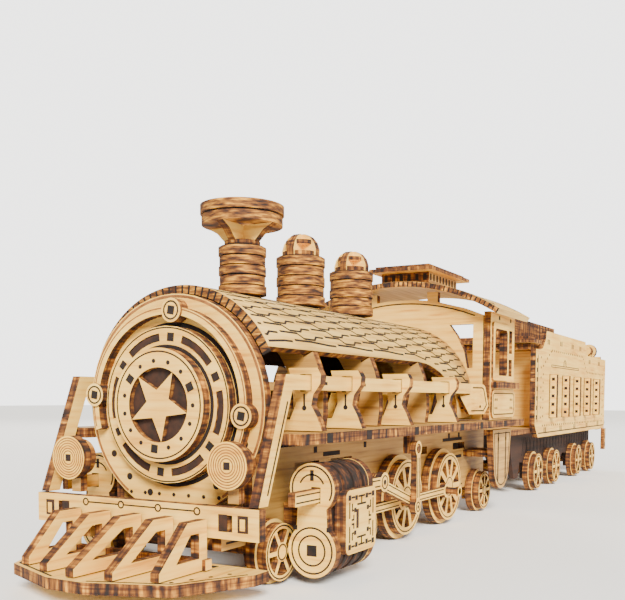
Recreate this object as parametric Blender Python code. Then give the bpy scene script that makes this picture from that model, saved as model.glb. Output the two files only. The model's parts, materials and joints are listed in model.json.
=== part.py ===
"""Wooden jigsaw steam locomotive with its tender, built from laser-cut plywood pieces.

The locomotive faces -X, the tender follows towards +X, +Z is up and the rails are z = 0.
Lengths are in millimetres here; to_metres scales each mesh once, as it is stored.
Left and right are seen from the driver's seat: left is the -Y side.
"""
import math

import bmesh
import bpy
from mathutils import Vector
from mathutils.geometry import delaunay_2d_cdt

MM = 0.001
PLY = 2.4                # thickness of the plywood sheet
GAP = 0.3                # clearance between two pieces that touch

# wheels and their axles
DRIVER_R = 12.7
PILOT_R = 7.4
TRAILING_R = 7.9
TENDER_R = 9.0
PILOT_X = (-164.1, -121.5)
DRIVER_X = (-94.3, -59.1)
TRAILING_X = -22.0
TENDER_X = (58.5, 92.3, 142.3, 178.3)
LOCO_FACE_Y = 25.6       # outer face of the locomotive's wheels
TENDER_FACE_Y = 24.6
WHEEL = 5.0              # thickness of a wheel
AXLE_R = 1.5
AXLE_BORE_R = 1.8
AXLE_TIP = 0.1           # the axle stands out of the wheel's face by this much

# rods, in layers outside the driving wheels
CRANK = (-7.8, -0.5)     # crank pin from its axle, in x and z
PIN_R = 1.1
PIN_BORE_R = 1.4
ROD = 1.8                # thickness of a rod
COUPLING_Y = 25.95       # inner face of each rod's layer
MAIN_Y = 30.25
CROSSHEAD_Y = 32.4
PIN_END_Y = 32.25        # outer end of a crank pin
LEVER_Y = 32.5
LUG_Y = 30.4             # inner face of the lug that a lever hangs from
LUG_FOOT_Z = 26.8        # clears the main rod at the top of its stroke
COUPLING_FRONT_X = -138.0
CROSSHEAD = (-128.2, 20.6)
TAIL_ROD_X = -172.5
LEVER_TOP = (-106.3, 28.2)
LEVER_LENGTH = 16.5

# cylinders
CYLINDER_X = (-162.3, -143.0)
CYLINDER_Y = 32.3
CYLINDER_UPPER = (22.0, 5.8)      # centre height and radius
CYLINDER_LOWER = (8.0, 6.2)

# deck and frame
DECK_Z = (32.2, 34.6)
DECK_Y = 35.6
DECK_X = (-172.0, -6.0)
ON_DECK = DECK_Z[1] + GAP
FRAME_Y = 17.8           # inner face of the frame sides
BEAM_X = -182.4          # front face of the buffer beam
BEAM_Z = (12.8, 19.5)
BEAM_Y = 31.7
PILOT_Z = (3.6, 6.0)
RIB_TOP = 16.8           # flat top of the pilot's ribs, from their back to RIB_BREAK_X
RIB_BREAK_X = -189.5
LAMP_X = -181.3          # front face of the headlamps
LAMP = (22.8, 28.0)      # centre of a headlamp, in y and z

# boiler
BOILER_Z = 40.5
WRAP_IN = 25.8
WRAP_OUT = 27.8
WRAP_X = (-168.1, -43.1)
WRAP_HALF_ANGLE = 62.0
FIREBOX_HALF_ANGLE = 100.0
FIREBOX_X = (-84.0, -58.0)        # where the wrap's lower edge curves down
FRONT_R = 25.5
FRONT_X = -170.8                  # front face of the smokebox front
RING_R = 18.0
MEDALLION_R = 12.9
FORMER_X = (-149.0, -118.5, -85.3)
POST_X = (-160.0, -140.3, -110.8, -74.5)
RAIL_Y = 28.8
RAIL_Z = (44.0, 47.3)
STACK_X = -143.0
STACK_R = 6.2
STACK_Z = (68.6, 81.0)
CAP_R = 10.8
CAP_Z = 91.3
DOME_X = (-114.0, -82.5)
DOME_R = 7.1
DOME_Z = (68.7, 82.6, 89.0)

# cab
CAB_X = (-42.7, -14.4)
CAB_Y = 31.4             # inner face of the cab sides
CAB_TOP = 72.6
ROOF_R = 72.9
ROOF_TOP = 84.0
ROOF = 2.0
ROOF_X = (-49.0, -11.4)
ROOF_Y = 38.8
VENT_Z = (84.3, 88.4, 90.6)

# tender
PIVOT_X = 2.0            # drawbar pin
FLOOR_X = 12.0           # where the floor widens behind the drawbar
FLOOR_Z = (27.0, 29.4)
TENDER_Y = 24.9          # inner face of the tender's sides
TENDER_REAR = 197.6
TENDER_TOP = (64.3, 66.7)
TRUCK_Y = 16.9
FIN_X = 65.8             # front face of the first fin on a tender side
FIN_PITCH = 24.7
FIN_Y = 30.5             # outer edge of the fins
FIN_Z = (33.5, 53.8)
REAR_LAMP = (17.0, 71.5)
KNOB = (22.0, 28.0)      # centre of a rear knob, in y and z
KNOB_X = (200.5, 204.5)

BIRCH = (0.80, 0.66, 0.45)
SHADED_BIRCH = (0.72, 0.58, 0.38)
BURNT_EDGE = (0.42, 0.22, 0.10)


def clear_scene():
    for old in list(bpy.data.objects):
        bpy.data.objects.remove(old)


def plywood(name, colour):
    material = bpy.data.materials.new(name)
    material.use_nodes = True
    shader = material.node_tree.nodes["Principled BSDF"]
    shader.inputs["Base Color"].default_value = (*colour, 1.0)
    shader.inputs["Roughness"].default_value = 0.75
    shader.inputs["Metallic"].default_value = 0.0
    return material


def place(name, bm, colour=BIRCH, origin=(0.0, 0.0, 0.0)):
    """Stores a bmesh made in millimetres as an object whose origin is at the given place."""
    bmesh.ops.recalc_face_normals(bm, faces=bm.faces[:])
    bmesh.ops.translate(bm, verts=bm.verts[:], vec=-Vector(origin))
    bmesh.ops.scale(bm, verts=bm.verts[:], vec=(MM, MM, MM))
    mesh = bpy.data.meshes.new(name)
    bm.to_mesh(mesh)
    bm.free()
    obj = bpy.data.objects.new(name, mesh)
    obj.location = Vector(origin) * MM
    bpy.context.scene.collection.objects.link(obj)
    mesh.materials.append(plywood(name, colour))
    return obj


def combine(target, bm, operation):
    """Joins a bmesh to an object, or cuts it out, with an exact Boolean."""
    tool = place(f"{target.name}_{operation.lower()}_{len(target.modifiers)}", bm)
    tool.hide_render = True
    tool.display_type = "WIRE"
    modifier = target.modifiers.new(operation, "BOOLEAN")
    modifier.operation = operation
    modifier.solver = "EXACT"
    modifier.object = tool


def join(target, *pieces):
    for piece in pieces:
        combine(target, piece, "UNION")
    return target


def to_space(axis, u, v, w):
    """A point of an outline (u, v) at height w along the axis it is extruded on."""
    if axis == "X":
        return (w, u, v)
    if axis == "Y":
        return (u, w, v)
    return (u, v, w)


def signed_area(loop):
    return sum(a[0] * b[1] - b[0] * a[1] for a, b in zip(loop, loop[1:] + loop[:1])) / 2


def fill(loops):
    """Triangles over the first loop, less the others, as indices into the joined list of points."""
    flat = [Vector(point) for loop in loops for point in loop]
    rings = []
    start = 0
    for loop in loops:
        ring = list(range(start, start + len(loop)))
        rings.append(ring if signed_area(loop) > 0 else ring[::-1])
        start += len(loop)
    _, _, faces, origin, _, parents = delaunay_2d_cdt(flat, [], rings, 1, 1e-6)
    return [[origin[v][0] for v in face] for face, parent in zip(faces, parents) if parent == [0]]


def plate(axis, low, high, outline, holes=()):
    """A flat plate: an outline with holes, extruded along an axis from low to high."""
    loops = [list(outline)] + [list(hole) for hole in holes]
    flat = [point for loop in loops for point in loop]
    bm = bmesh.new()
    bottom = [bm.verts.new(to_space(axis, u, v, low)) for u, v in flat]
    top = [bm.verts.new(to_space(axis, u, v, high)) for u, v in flat]
    for a, b, c in fill(loops):
        bm.faces.new((bottom[a], bottom[c], bottom[b]))
        bm.faces.new((top[a], top[b], top[c]))
    start = 0
    for loop in loops:
        count = len(loop)
        for i in range(count):
            a = start + i
            b = start + (i + 1) % count
            bm.faces.new((bottom[a], bottom[b], top[b], top[a]))
        start += count
    return bm


def box(x, y, z):
    return plate("Z", z[0], z[1], rectangle(x[0], x[1], y[0], y[1]))


def rectangle(u0, u1, v0, v1):
    return [(u0, v0), (u1, v0), (u1, v1), (u0, v1)]


def arc(centre, radius, start, end, steps):
    """Points along a circle's arc, both ends included; angles in degrees."""
    points = []
    for i in range(steps + 1):
        angle = math.radians(start + (end - start) * i / steps)
        points.append((centre[0] + radius * math.cos(angle), centre[1] + radius * math.sin(angle)))
    return points


def circle(centre, radius, steps=24):
    return arc(centre, radius, 0.0, 360.0, steps)[:-1]


def mirrored(points):
    return [(-u, v) for u, v in reversed(points)]


def side_range(side, inner, thickness):
    """The low and high y of a layer on one side, -1 for left and 1 for right."""
    return sorted((side * inner, side * (inner + thickness)))


def turned(centre, profile, steps=24):
    """Turns a closed (radius, z) profile about a vertical axis; radius 0 closes on the axis."""
    bm = bmesh.new()
    rings = []
    for radius, z in profile:
        if radius == 0.0:
            rings.append([bm.verts.new((centre[0], centre[1], z))] * steps)
        else:
            rings.append([bm.verts.new((x, y, z)) for x, y in circle(centre, radius, steps)])
    for lower, upper in zip(rings, rings[1:] + rings[:1]):
        for i in range(steps):
            j = (i + 1) % steps
            corners = []
            for vert in (lower[i], lower[j], upper[j], upper[i]):
                if vert not in corners:
                    corners.append(vert)
            if len(corners) > 2:
                bm.faces.new(corners)
    return bm


# ---------------------------------------------------------------- wheels and axles

def spoke_gaps(centre, hub, rim, count, spoke):
    """The openings between a wheel's spokes, as four-sided holes."""
    holes = []
    for i in range(count):
        middle = 360.0 * (i + 0.5) / count
        inner = 180.0 / count - math.degrees(spoke / (2 * hub))
        outer = 180.0 / count - math.degrees(spoke / (2 * rim))
        holes.append(arc(centre, hub, middle - inner, middle + inner, 1)
                     + arc(centre, rim, middle + outer, middle - outer, 1))
    return holes


def wheel(side, x, radius, face, spokes, steps):
    """One wheel, a flat disc with the spoke openings through it."""
    low, high = side_range(side, face - WHEEL, WHEEL)
    holes = spoke_gaps((x, radius), radius * 0.30, radius * 0.72, spokes, radius * 0.14)
    return plate("Y", low, high, circle((x, radius), radius, steps), holes)


def wheelset(name, x, radius, face, spokes, steps):
    """Two wheels on one axle, with the origin on the axle's line."""
    reach = face + AXLE_TIP
    axle = plate("Y", -reach, reach, circle((x, radius), AXLE_R, 10))
    obj = place(name, axle, BIRCH, (x, 0.0, radius))
    return join(obj, *[wheel(side, x, radius, face, spokes, steps) for side in (-1, 1)])


def driver(name, x):
    """A driving wheelset, with a crank pin on each wheel."""
    obj = wheelset(name, x, DRIVER_R, LOCO_FACE_Y, 10, 28)
    pin = (x + CRANK[0], DRIVER_R + CRANK[1])
    for side in (-1, 1):
        low, high = side_range(side, LOCO_FACE_Y - 1.5, PIN_END_Y - LOCO_FACE_Y + 1.5)
        boss_low, boss_high = side_range(side, LOCO_FACE_Y - WHEEL + 0.3, WHEEL - 0.4)
        join(obj, plate("Y", boss_low, boss_high, circle(pin, 2.2, 12)),
             plate("Y", low, high, circle(pin, PIN_R, 12)))
    return obj


def make_wheels():
    for name, x in zip(("wheelset_pilot_front", "wheelset_pilot_rear"), PILOT_X):
        wheelset(name, x, PILOT_R, LOCO_FACE_Y, 6, 20)
    driver("driver_front", DRIVER_X[0])
    driver("driver_rear", DRIVER_X[1])
    wheelset("wheelset_trailing", TRAILING_X, TRAILING_R, LOCO_FACE_Y, 8, 20)
    for number, x in enumerate(TENDER_X, 1):
        wheelset(f"tender_wheelset_{number}", x, TENDER_R, TENDER_FACE_Y, 6, 20)


# ---------------------------------------------------------------- rods and cylinders

def crank_pin(index):
    return (DRIVER_X[index] + CRANK[0], DRIVER_R + CRANK[1])


def bar_with_eyes(side, inner, a, b, half, eye, holes):
    """A flat bar with a round eye at both ends and pin holes."""
    low, high = side_range(side, inner, ROD)
    angle = math.degrees(math.atan2(b[1] - a[1], b[0] - a[0]))
    spread = math.degrees(math.asin(half / eye))
    outline = arc(b, eye, angle - 180 + spread, angle + 180 - spread, 12)
    outline += arc(a, eye, angle + spread, angle + 360 - spread, 12)
    return plate("Y", low, high, outline, [circle(hole, PIN_BORE_R, 12) for hole in holes])


def coupling_rod(name, side):
    front, rear = crank_pin(0), crank_pin(1)
    low, high = side_range(side, COUPLING_Y, ROD)
    nose = (COUPLING_FRONT_X, front[1])
    outline = arc(rear, 2.4, -150, 150, 12) + arc(front, 2.4, 30, 150, 6)
    outline += [(nose[0], nose[1] + 1.2), (nose[0], nose[1] - 1.2)] + arc(front, 2.4, 210, 330, 6)
    holes = [circle(pin, PIN_BORE_R, 12) for pin in (front, rear)]
    place(name, plate("Y", low, high, outline, holes), BIRCH, (front[0], 0.0, front[1]))


def main_rod(name, side):
    pin = crank_pin(0)
    bm = bar_with_eyes(side, MAIN_Y, CROSSHEAD, pin, 1.3, 2.3, [pin])
    place(name, bm, BIRCH, (pin[0], 0.0, pin[1]))


def lever(name, side):
    foot = (LEVER_TOP[0], LEVER_TOP[1] - LEVER_LENGTH)
    bm = bar_with_eyes(side, LEVER_Y, foot, LEVER_TOP, 1.2, 2.2, [LEVER_TOP])
    place(name, bm, BIRCH, (LEVER_TOP[0], 0.0, LEVER_TOP[1]))


def crosshead(name, side):
    """Piston rod, with the crosshead knob behind the cylinder and its tail ahead of it."""
    low, high = side_range(side, CROSSHEAD_Y, ROD)
    x, z = CROSSHEAD
    outline = arc((x, z), 2.6, -145, 145, 14)
    outline += [(TAIL_ROD_X, z + 1.5), (TAIL_ROD_X, z - 1.5)]
    place(name, plate("Y", low, high, outline), BIRCH, (x, 0.0, z))


def cylinder(name, side):
    """A stack of figure-of-eight layers, bored for the piston rod, with its cover and its saddle."""
    upper_z, upper_r = CYLINDER_UPPER
    lower_z, lower_r = CYLINDER_LOWER
    y = side * CYLINDER_Y
    outline = arc((y, upper_z), upper_r, -50, 230, 16) + arc((y, lower_z), lower_r, 130, 410, 16)
    slot = sorted((side * (CROSSHEAD_Y - GAP), side * (CROSSHEAD_Y + ROD + GAP)))
    bore = rectangle(slot[0], slot[1], CROSSHEAD[1] - 1.5 - GAP, CROSSHEAD[1] + 1.5 + GAP)
    stack = plate("X", CYLINDER_X[0], CYLINDER_X[1], outline, [bore])
    cover = box((-159.5, -144.4), sorted((side * 37.0, side * 39.6)), (7.0, 21.6))
    saddle = box((-155.4, -144.4), sorted((side * 20.5, side * 28.0)), (10.5, 17.5))
    join(place(name, stack, BURNT_EDGE), cover, saddle)


def make_running_gear():
    for side, word in ((-1, "left"), (1, "right")):
        cylinder(f"cylinder_{word}", side)
        crosshead(f"crosshead_{word}", side)
        main_rod(f"main_rod_{word}", side)
        coupling_rod(f"coupling_rod_{word}", side)
        lever(f"lever_{word}", side)


# ---------------------------------------------------------------- frame, deck and pilot

def frame_side(name, side):
    """A long frame plate with an axle bore at each wheelset and the cab's step on its outside."""
    axles = [(x, PILOT_R) for x in PILOT_X] + [(x, DRIVER_R) for x in DRIVER_X]
    axles.append((TRAILING_X, TRAILING_R))
    bottom = 9.5
    outline = [(BEAM_X + PLY + GAP, 17.4), (BEAM_X + PLY + GAP, bottom)]
    for x, z in axles:
        if z < DRIVER_R:
            outline += [(x - 4.5, bottom), (x - 3.5, z - 3.4), (x + 3.5, z - 3.4), (x + 4.5, bottom + 0.6)]
    rear, top, step = -8.0, DECK_Z[0] - GAP, FRONT_X + PLY + GAP
    outline += [(rear, bottom), (rear, top), (step, top), (step, 17.4)]
    slots = [rectangle(x, x + 12.0, 24.0, 26.4) for x in (-150.0, -132.0, -78.0, -42.0)]
    holes = [circle(axle, AXLE_BORE_R, 16) for axle in axles] + slots
    low, high = side_range(side, FRAME_Y, PLY)
    obj = place(name, plate("Y", low, high, outline, holes), SHADED_BIRCH)
    shelf = box((-31.0, -15.0), sorted((side * 19.0, side * 31.0)), (21.0, 23.4))
    panel_low, panel_high = side_range(side, 30.0, PLY)
    panel = plate("Y", panel_low, panel_high, arc((-23.0, 18.0), 9.0, 180, 360, 8)
                  + [(-12.0, 31.0), (-34.0, 31.0)])
    join(obj, shelf, panel)


def deck():
    """The running board, notched for the smokebox front, with the drawbar pin on its tongue."""
    notch_x, notch_y = FRONT_X + PLY + GAP, FRONT_R + 0.6
    half = [(DECK_X[0], notch_y), (DECK_X[0], DECK_Y), (DECK_X[1], DECK_Y), (DECK_X[1], 7.0), (5.5, 7.0)]
    outline = [(notch_x, notch_y)] + half
    outline += [(x, -y) for x, y in reversed(outline)]
    obj = place("deck", plate("Z", DECK_Z[0], DECK_Z[1], outline), SHADED_BIRCH)
    join(obj, plate("Z", 25.2, 33.0, circle((PIVOT_X, 0.0), AXLE_R, 16)))
    for side in (-1, 1):
        lug = sorted((side * LUG_Y, side * (LEVER_Y - 0.2)))
        pin_low, pin_high = side_range(side, LUG_Y + 1.0, LEVER_Y + ROD - LUG_Y - 0.8)
        join(obj, box((LEVER_TOP[0] - 2.0, LEVER_TOP[0] + 2.0), lug, (LUG_FOOT_Z, DECK_Z[0] + 0.8)),
             plate("Y", pin_low, pin_high, circle(LEVER_TOP, PIN_R, 12)))


def buffer_beam():
    slots = [rectangle(y - 0.8, y + 0.8, 14.4, 17.9) for y in (-28.0, -24.2, 24.2, 28.0)]
    place("buffer_beam", plate("X", BEAM_X, BEAM_X + PLY, rectangle(-BEAM_Y, BEAM_Y, *BEAM_Z), slots))


def pilot():
    """The pilot's floor plate, and its five slanting ribs on a cross strip."""
    half = [(-177.0, 30.5), (-182.0, 30.5), (-198.0, 22.0), (-204.5, 5.0)]
    outline = half + [(x, -y) for x, y in reversed(half)]
    place("pilot_base", plate("Z", PILOT_Z[0], PILOT_Z[1], outline))
    foot = PILOT_Z[1] + GAP
    strip = box((-184.9, -182.8), (-20.0, 20.0), (foot, foot + 2.2))
    obj = place("pilot_grille", strip)
    back, wall = -183.2, 2.6
    for y, nose in ((-18.0, -198.3), (-9.0, -201.5), (0.0, -203.0), (9.0, -201.5), (18.0, -198.3)):
        rib = [(back, foot), (back, RIB_TOP), (RIB_BREAK_X, RIB_TOP), (nose, foot + 1.6), (nose, foot)]
        window = [(back - wall, foot + wall), (back - wall, RIB_TOP - wall),
                  (RIB_BREAK_X + 0.9, RIB_TOP - wall), (nose + 2 * wall, foot + wall)]
        join(obj, plate("Y", y - 1.1, y + 1.1, rib, [window]))


def make_frame():
    for side, word in ((-1, "left"), (1, "right")):
        frame_side(f"frame_side_{word}", side)
    deck()
    buffer_beam()
    pilot()


# ---------------------------------------------------------------- boiler

def wrap_half_angle(x):
    """The wrap's half angle from the top: it curves down to the firebox as a quarter circle."""
    start, end = FIREBOX_X
    t = min(max((x - start) / (end - start), 0.0), 1.0)
    drop = 1.0 - math.sqrt(1.0 - t * t)
    return WRAP_HALF_ANGLE + (FIREBOX_HALF_ANGLE - WRAP_HALF_ANGLE) * drop


def boiler_wrap():
    """The bent sheet over the boiler, as a thick shell on a grid of stations and angles."""
    start, end = FIREBOX_X
    stations = [WRAP_X[0], start] + [start + (end - start) * math.sin(math.radians(a))
                                     for a in (30, 50, 65, 78, 90)] + [WRAP_X[1]]
    across = 16
    bm = bmesh.new()
    grids = []
    for radius in (WRAP_IN, WRAP_OUT):
        grid = []
        for x in stations:
            half = wrap_half_angle(x)
            points = arc((0.0, BOILER_Z), radius, 90 + half, 90 - half, across)
            grid.append([bm.verts.new((x, y, z)) for y, z in points])
        grids.append(grid)
    last = len(stations) - 1
    for grid in grids:
        for i in range(last):
            for j in range(across):
                bm.faces.new((grid[i][j], grid[i][j + 1], grid[i + 1][j + 1], grid[i + 1][j]))
    inner, outer = grids
    for i in (0, last):
        for j in range(across):
            bm.faces.new((inner[i][j], inner[i][j + 1], outer[i][j + 1], outer[i][j]))
    for j in (0, across):
        for i in range(last):
            bm.faces.new((inner[i][j], inner[i + 1][j], outer[i + 1][j], outer[i][j]))
    place("boiler_wrap", bm)


def former(name, x):
    """An arch under the wrap, with wider feet whose tips hold the wrap's lower edges."""
    tip = 90 - WRAP_HALF_ANGLE - 1.2
    wide, narrow, inner = WRAP_OUT + 0.5, WRAP_IN - GAP, 20.0
    centre = (0.0, BOILER_Z)

    def foot_angle(radius):
        return math.degrees(math.asin((ON_DECK - BOILER_Z) / radius))

    foot, bend = foot_angle(wide), foot_angle(inner)
    outline = arc(centre, wide, foot, tip, 5) + arc(centre, narrow, tip, 180 - tip, 16)
    outline += arc(centre, wide, 180 - tip, 180 - foot, 5) + arc(centre, inner, 180 - bend, bend, 20)
    place(name, plate("X", x - PLY / 2, x + PLY / 2, outline))


def cross_frame(name, x):
    """A strap across the deck with a waisted post at each end, slotted for the handrail."""
    top = 49.0
    post = [(34.2, ON_DECK), (32.8, 38.2), (31.4, 40.6), (31.9, 43.0), (33.7, 45.4), (33.9, 47.4), (33.0, top),
            (25.4, top), (27.0, 44.0), (27.4, 41.0), (25.8, ON_DECK + 2.4)]
    outline = post + mirrored(post)
    slot = rectangle(RAIL_Y - GAP, RAIL_Y + PLY + GAP, RAIL_Z[0] - GAP, RAIL_Z[1] + GAP)
    place(name, plate("X", x - PLY / 2, x + PLY / 2, outline, [slot, mirrored(slot)]))


def boiler_side(name, side):
    """A long panel inside the boiler, with a row of tapering windows."""
    low, top = ON_DECK + 2.4 + GAP, 46.0
    rear = -47.0
    windows = []
    for x in (-160.0, -138.0, -116.0, -94.0, -72.0):
        windows.append([(x + 2.0, low + 2.0), (x + 12.0, low + 2.0), (x + 14.0, top - 2.0), (x, top - 2.0)])
    outline = rectangle(WRAP_X[0] + 1.0, rear, low, top)
    side_low, side_high = side_range(side, 16.3, PLY)
    place(name, plate("Y", side_low, side_high, outline, windows), SHADED_BIRCH)


def smokebox():
    """The flat-bottomed front plate, the slotted ring and the star, all turned by 6 degrees."""
    centre = (0.0, BOILER_Z)
    flat, turn = 18.0, 6
    edge = math.degrees(math.asin((flat - BOILER_Z) / FRONT_R))
    front = arc(centre, FRONT_R, edge, 180 - edge, 40)
    place("smokebox_front", plate("X", FRONT_X, FRONT_X + PLY, front))
    slots = []
    for i in range(6):
        middle = turn + 60 * i
        slots.append(arc(centre, 16.4, middle - 18, middle + 18, 5)
                     + arc(centre, 14.6, middle + 18, middle - 18, 5))
    ring_x = FRONT_X - GAP - PLY
    place("smokebox_ring", plate("X", ring_x, ring_x + PLY, circle(centre, RING_R, 32), slots))
    gaps = []
    for i in range(5):
        tip = 258 + turn + 72 * i
        valley = arc(centre, 3.2, tip + 36, tip + 36, 1)[:1]
        gaps.append(arc(centre, 7.9, tip + 10, tip + 62, 4) + valley)
    medallion_x = ring_x - GAP - PLY
    place("smokebox_medallion",
          plate("X", medallion_x, medallion_x + PLY, circle(centre, MEDALLION_R, 28), gaps))


def front_handrail():
    """An arch of rail on the smokebox front, with three oval knobs, set a little askew."""
    middle, half, tilt = 21.5, 0.9, -6.0
    knobs = (0.0, 90.0, 180.0)

    def bulge(angle):
        return max(1.7 * math.cos(math.radians(min(abs(angle - k) * 13, 90))) for k in knobs)

    angles = [k + d for k in knobs for d in (-7, -4, 0, 4, 7)]
    angles += [25, 45, 65, 115, 135, 155]
    angles = sorted(angles + [-22, 202])

    def edge(sign):
        points = []
        for a in angles:
            radius = middle + sign * (half + bulge(a))
            turn = math.radians(a + tilt)
            points.append((radius * math.cos(turn), BOILER_Z + radius * math.sin(turn)))
        return points

    outline = edge(1) + edge(-1)[::-1]
    outline = [(-u, v) for u, v in outline][::-1]
    x = FRONT_X - GAP - PLY
    place("front_handrail", plate("X", x, x + PLY, outline))


def headlamp(name, side):
    """A round lamp of two discs, on a bracket that stands above the buffer beam."""
    y, z = side * LAMP[0], LAMP[1]
    overlap = 0.1
    middle = LAMP_X + PLY
    front = plate("X", LAMP_X, middle, circle((y, z), 5.1, 28))
    back = plate("X", middle - overlap, middle + PLY - overlap, circle((y, z), 4.2, 20))
    bracket_x = LAMP_X + 0.4
    bracket = box((bracket_x, bracket_x + PLY), (y - 2.2, y + 2.2), (BEAM_Z[1] + GAP, z + 2.0))
    join(place(name, front, BIRCH), back, bracket)


def handrail(name, side):
    """The long rail through the posts, with its leg slanting down to the buffer beam."""
    low, high = side_range(side, RAIL_Y, PLY)
    outline = [(-181.8, BEAM_Z[1] + GAP), (-178.4, BEAM_Z[1] + GAP), (-168.8, RAIL_Z[0]),
               (-55.0, RAIL_Z[0]), (-55.0, RAIL_Z[1]), (-171.4, RAIL_Z[1])]
    place(name, plate("Y", low, high, outline))


def chimney():
    centre = (STACK_X, 0.0)
    barrel = [(0.0, STACK_Z[0]), (STACK_R, STACK_Z[0]), (STACK_R, STACK_Z[1]), (0.0, STACK_Z[1])]
    obj = turned(centre, barrel, 20)
    place("chimney_barrel", obj, BURNT_EDGE)
    bottom = STACK_Z[1] + GAP
    cap = [(3.2, bottom), (5.4, bottom), (8.4, 86.0), (CAP_R, 86.2), (CAP_R, CAP_Z), (4.6, CAP_Z),
           (4.6, 87.4), (3.2, 85.8)]
    place("chimney_cap", turned(centre, cap, 20), BURNT_EDGE)


def dome(name, x):
    low, shoulder, top = DOME_Z
    profile = [(0.0, low), (DOME_R, low), (DOME_R, shoulder), (5.6, shoulder + 0.4), (5.2, 86.4),
               (2.4, top), (0.0, top)]
    place(name, turned((x, 0.0), profile, 20), BURNT_EDGE)


def make_boiler():
    smokebox()
    front_handrail()
    boiler_wrap()
    for number, x in enumerate(FORMER_X, 1):
        former(f"boiler_former_{number}", x)
    for number, x in enumerate(POST_X, 1):
        cross_frame(f"cross_frame_{number}", x)
    for side, word in ((-1, "left"), (1, "right")):
        boiler_side(f"boiler_side_{word}", side)
        headlamp(f"headlamp_{word}", side)
        handrail(f"handrail_{word}", side)
    chimney()
    dome("dome_front", DOME_X[0])
    dome("dome_rear", DOME_X[1])


# ---------------------------------------------------------------- cab

def roof_height(y, radius):
    return ROOF_TOP - ROOF_R + math.sqrt(radius * radius - y * y)


def cab_front():
    """The arched front wall: two windows cut by the boiler's outline and two tabs to the roof."""
    edge = CAB_Y - GAP
    arch_r, arch_top = 76.6, 78.0

    def arch(y):
        return arch_top - arch_r + math.sqrt(arch_r * arch_r - y * y)

    tab = roof_height(14.0, ROOF_R - ROOF) - GAP
    half = [(edge, ON_DECK), (edge, arch(edge)), (24.0, arch(24.0)), (14.0, arch(14.0)), (14.0, tab),
            (10.0, tab), (10.0, arch(10.0)), (5.0, arch(5.0))]
    outline = half + mirrored(half)
    window = [(27.4, 68.4), (18.6, 68.4), (21.4, 64.6), (24.2, 59.0), (25.4, 53.0), (27.4, 53.0)]
    place("cab_front", plate("X", CAB_X[0], CAB_X[0] + PLY, outline, [window, mirrored(window)]))


def cab_side(name, side):
    """A side wall with one wide window and a narrow one in two panes."""
    low, high = side_range(side, CAB_Y, PLY)
    panes = [rectangle(-39.4, -25.0, 50.6, 67.0), rectangle(-21.8, -17.2, 59.0, 67.4),
             rectangle(-21.8, -17.2, 50.6, 56.8)]
    place(name, plate("Y", low, high, rectangle(CAB_X[0], CAB_X[1], ON_DECK, CAB_TOP), panes))


def cab_roof():
    half = math.degrees(math.asin(ROOF_Y / ROOF_R))
    centre = (0.0, ROOF_TOP - ROOF_R)
    outline = arc(centre, ROOF_R, 90 - half, 90 + half, 20)
    outline += arc(centre, ROOF_R - ROOF, 90 + half, 90 - half, 20)
    place("cab_roof", plate("X", ROOF_X[0], ROOF_X[1], outline))


def roof_vent():
    base = box((-40.0, -12.0), (-9.5, 9.5), (VENT_Z[0], VENT_Z[1]))
    board = box((-45.0, -5.0), (-12.3, 12.3), (VENT_Z[1] - 0.2, VENT_Z[2]))
    join(place("roof_vent", base), board)


def make_cab():
    cab_front()
    cab_side("cab_side_left", -1)
    cab_side("cab_side_right", 1)
    cab_roof()
    roof_vent()


# ---------------------------------------------------------------- tender

def tender_side(name, side):
    """A side panel with the swept top edge and five upright fins that stand out of it."""
    outline = [(46.0, 25.0), (TENDER_REAR, 25.0), (TENDER_REAR, 66.0), (148.0, 66.0), (143.0, 68.4),
               (140.5, 73.4), (58.0, 73.4), (57.0, 69.6), (52.0, 65.2), (47.0, 64.3), (40.5, 64.3),
               (40.5, 31.0), (42.5, 28.4)]
    low, high = side_range(side, TENDER_Y, PLY)
    panel = place(name, plate("Y", low, high, outline))
    fin_y = sorted((side * (TENDER_Y + PLY - GAP), side * FIN_Y))
    for i in range(5):
        x = FIN_X + FIN_PITCH * i
        join(panel, box((x, x + PLY), fin_y, FIN_Z))


def tender_floor():
    """The floor, whose narrow front is the drawbar that hooks on the locomotive's pin."""
    half = [(-2.6, 6.0), (FLOOR_X, 6.0), (FLOOR_X, TENDER_Y - GAP), (TENDER_REAR - 3.0, TENDER_Y - GAP)]
    outline = half + [(x, -y) for x, y in reversed(half)]
    bore = circle((PIVOT_X, 0.0), AXLE_BORE_R, 16)
    place("tender_floor", plate("Z", FLOOR_Z[0], FLOOR_Z[1], outline, [bore]), SHADED_BIRCH,
          (PIVOT_X, 0.0, FLOOR_Z[0]))


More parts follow.
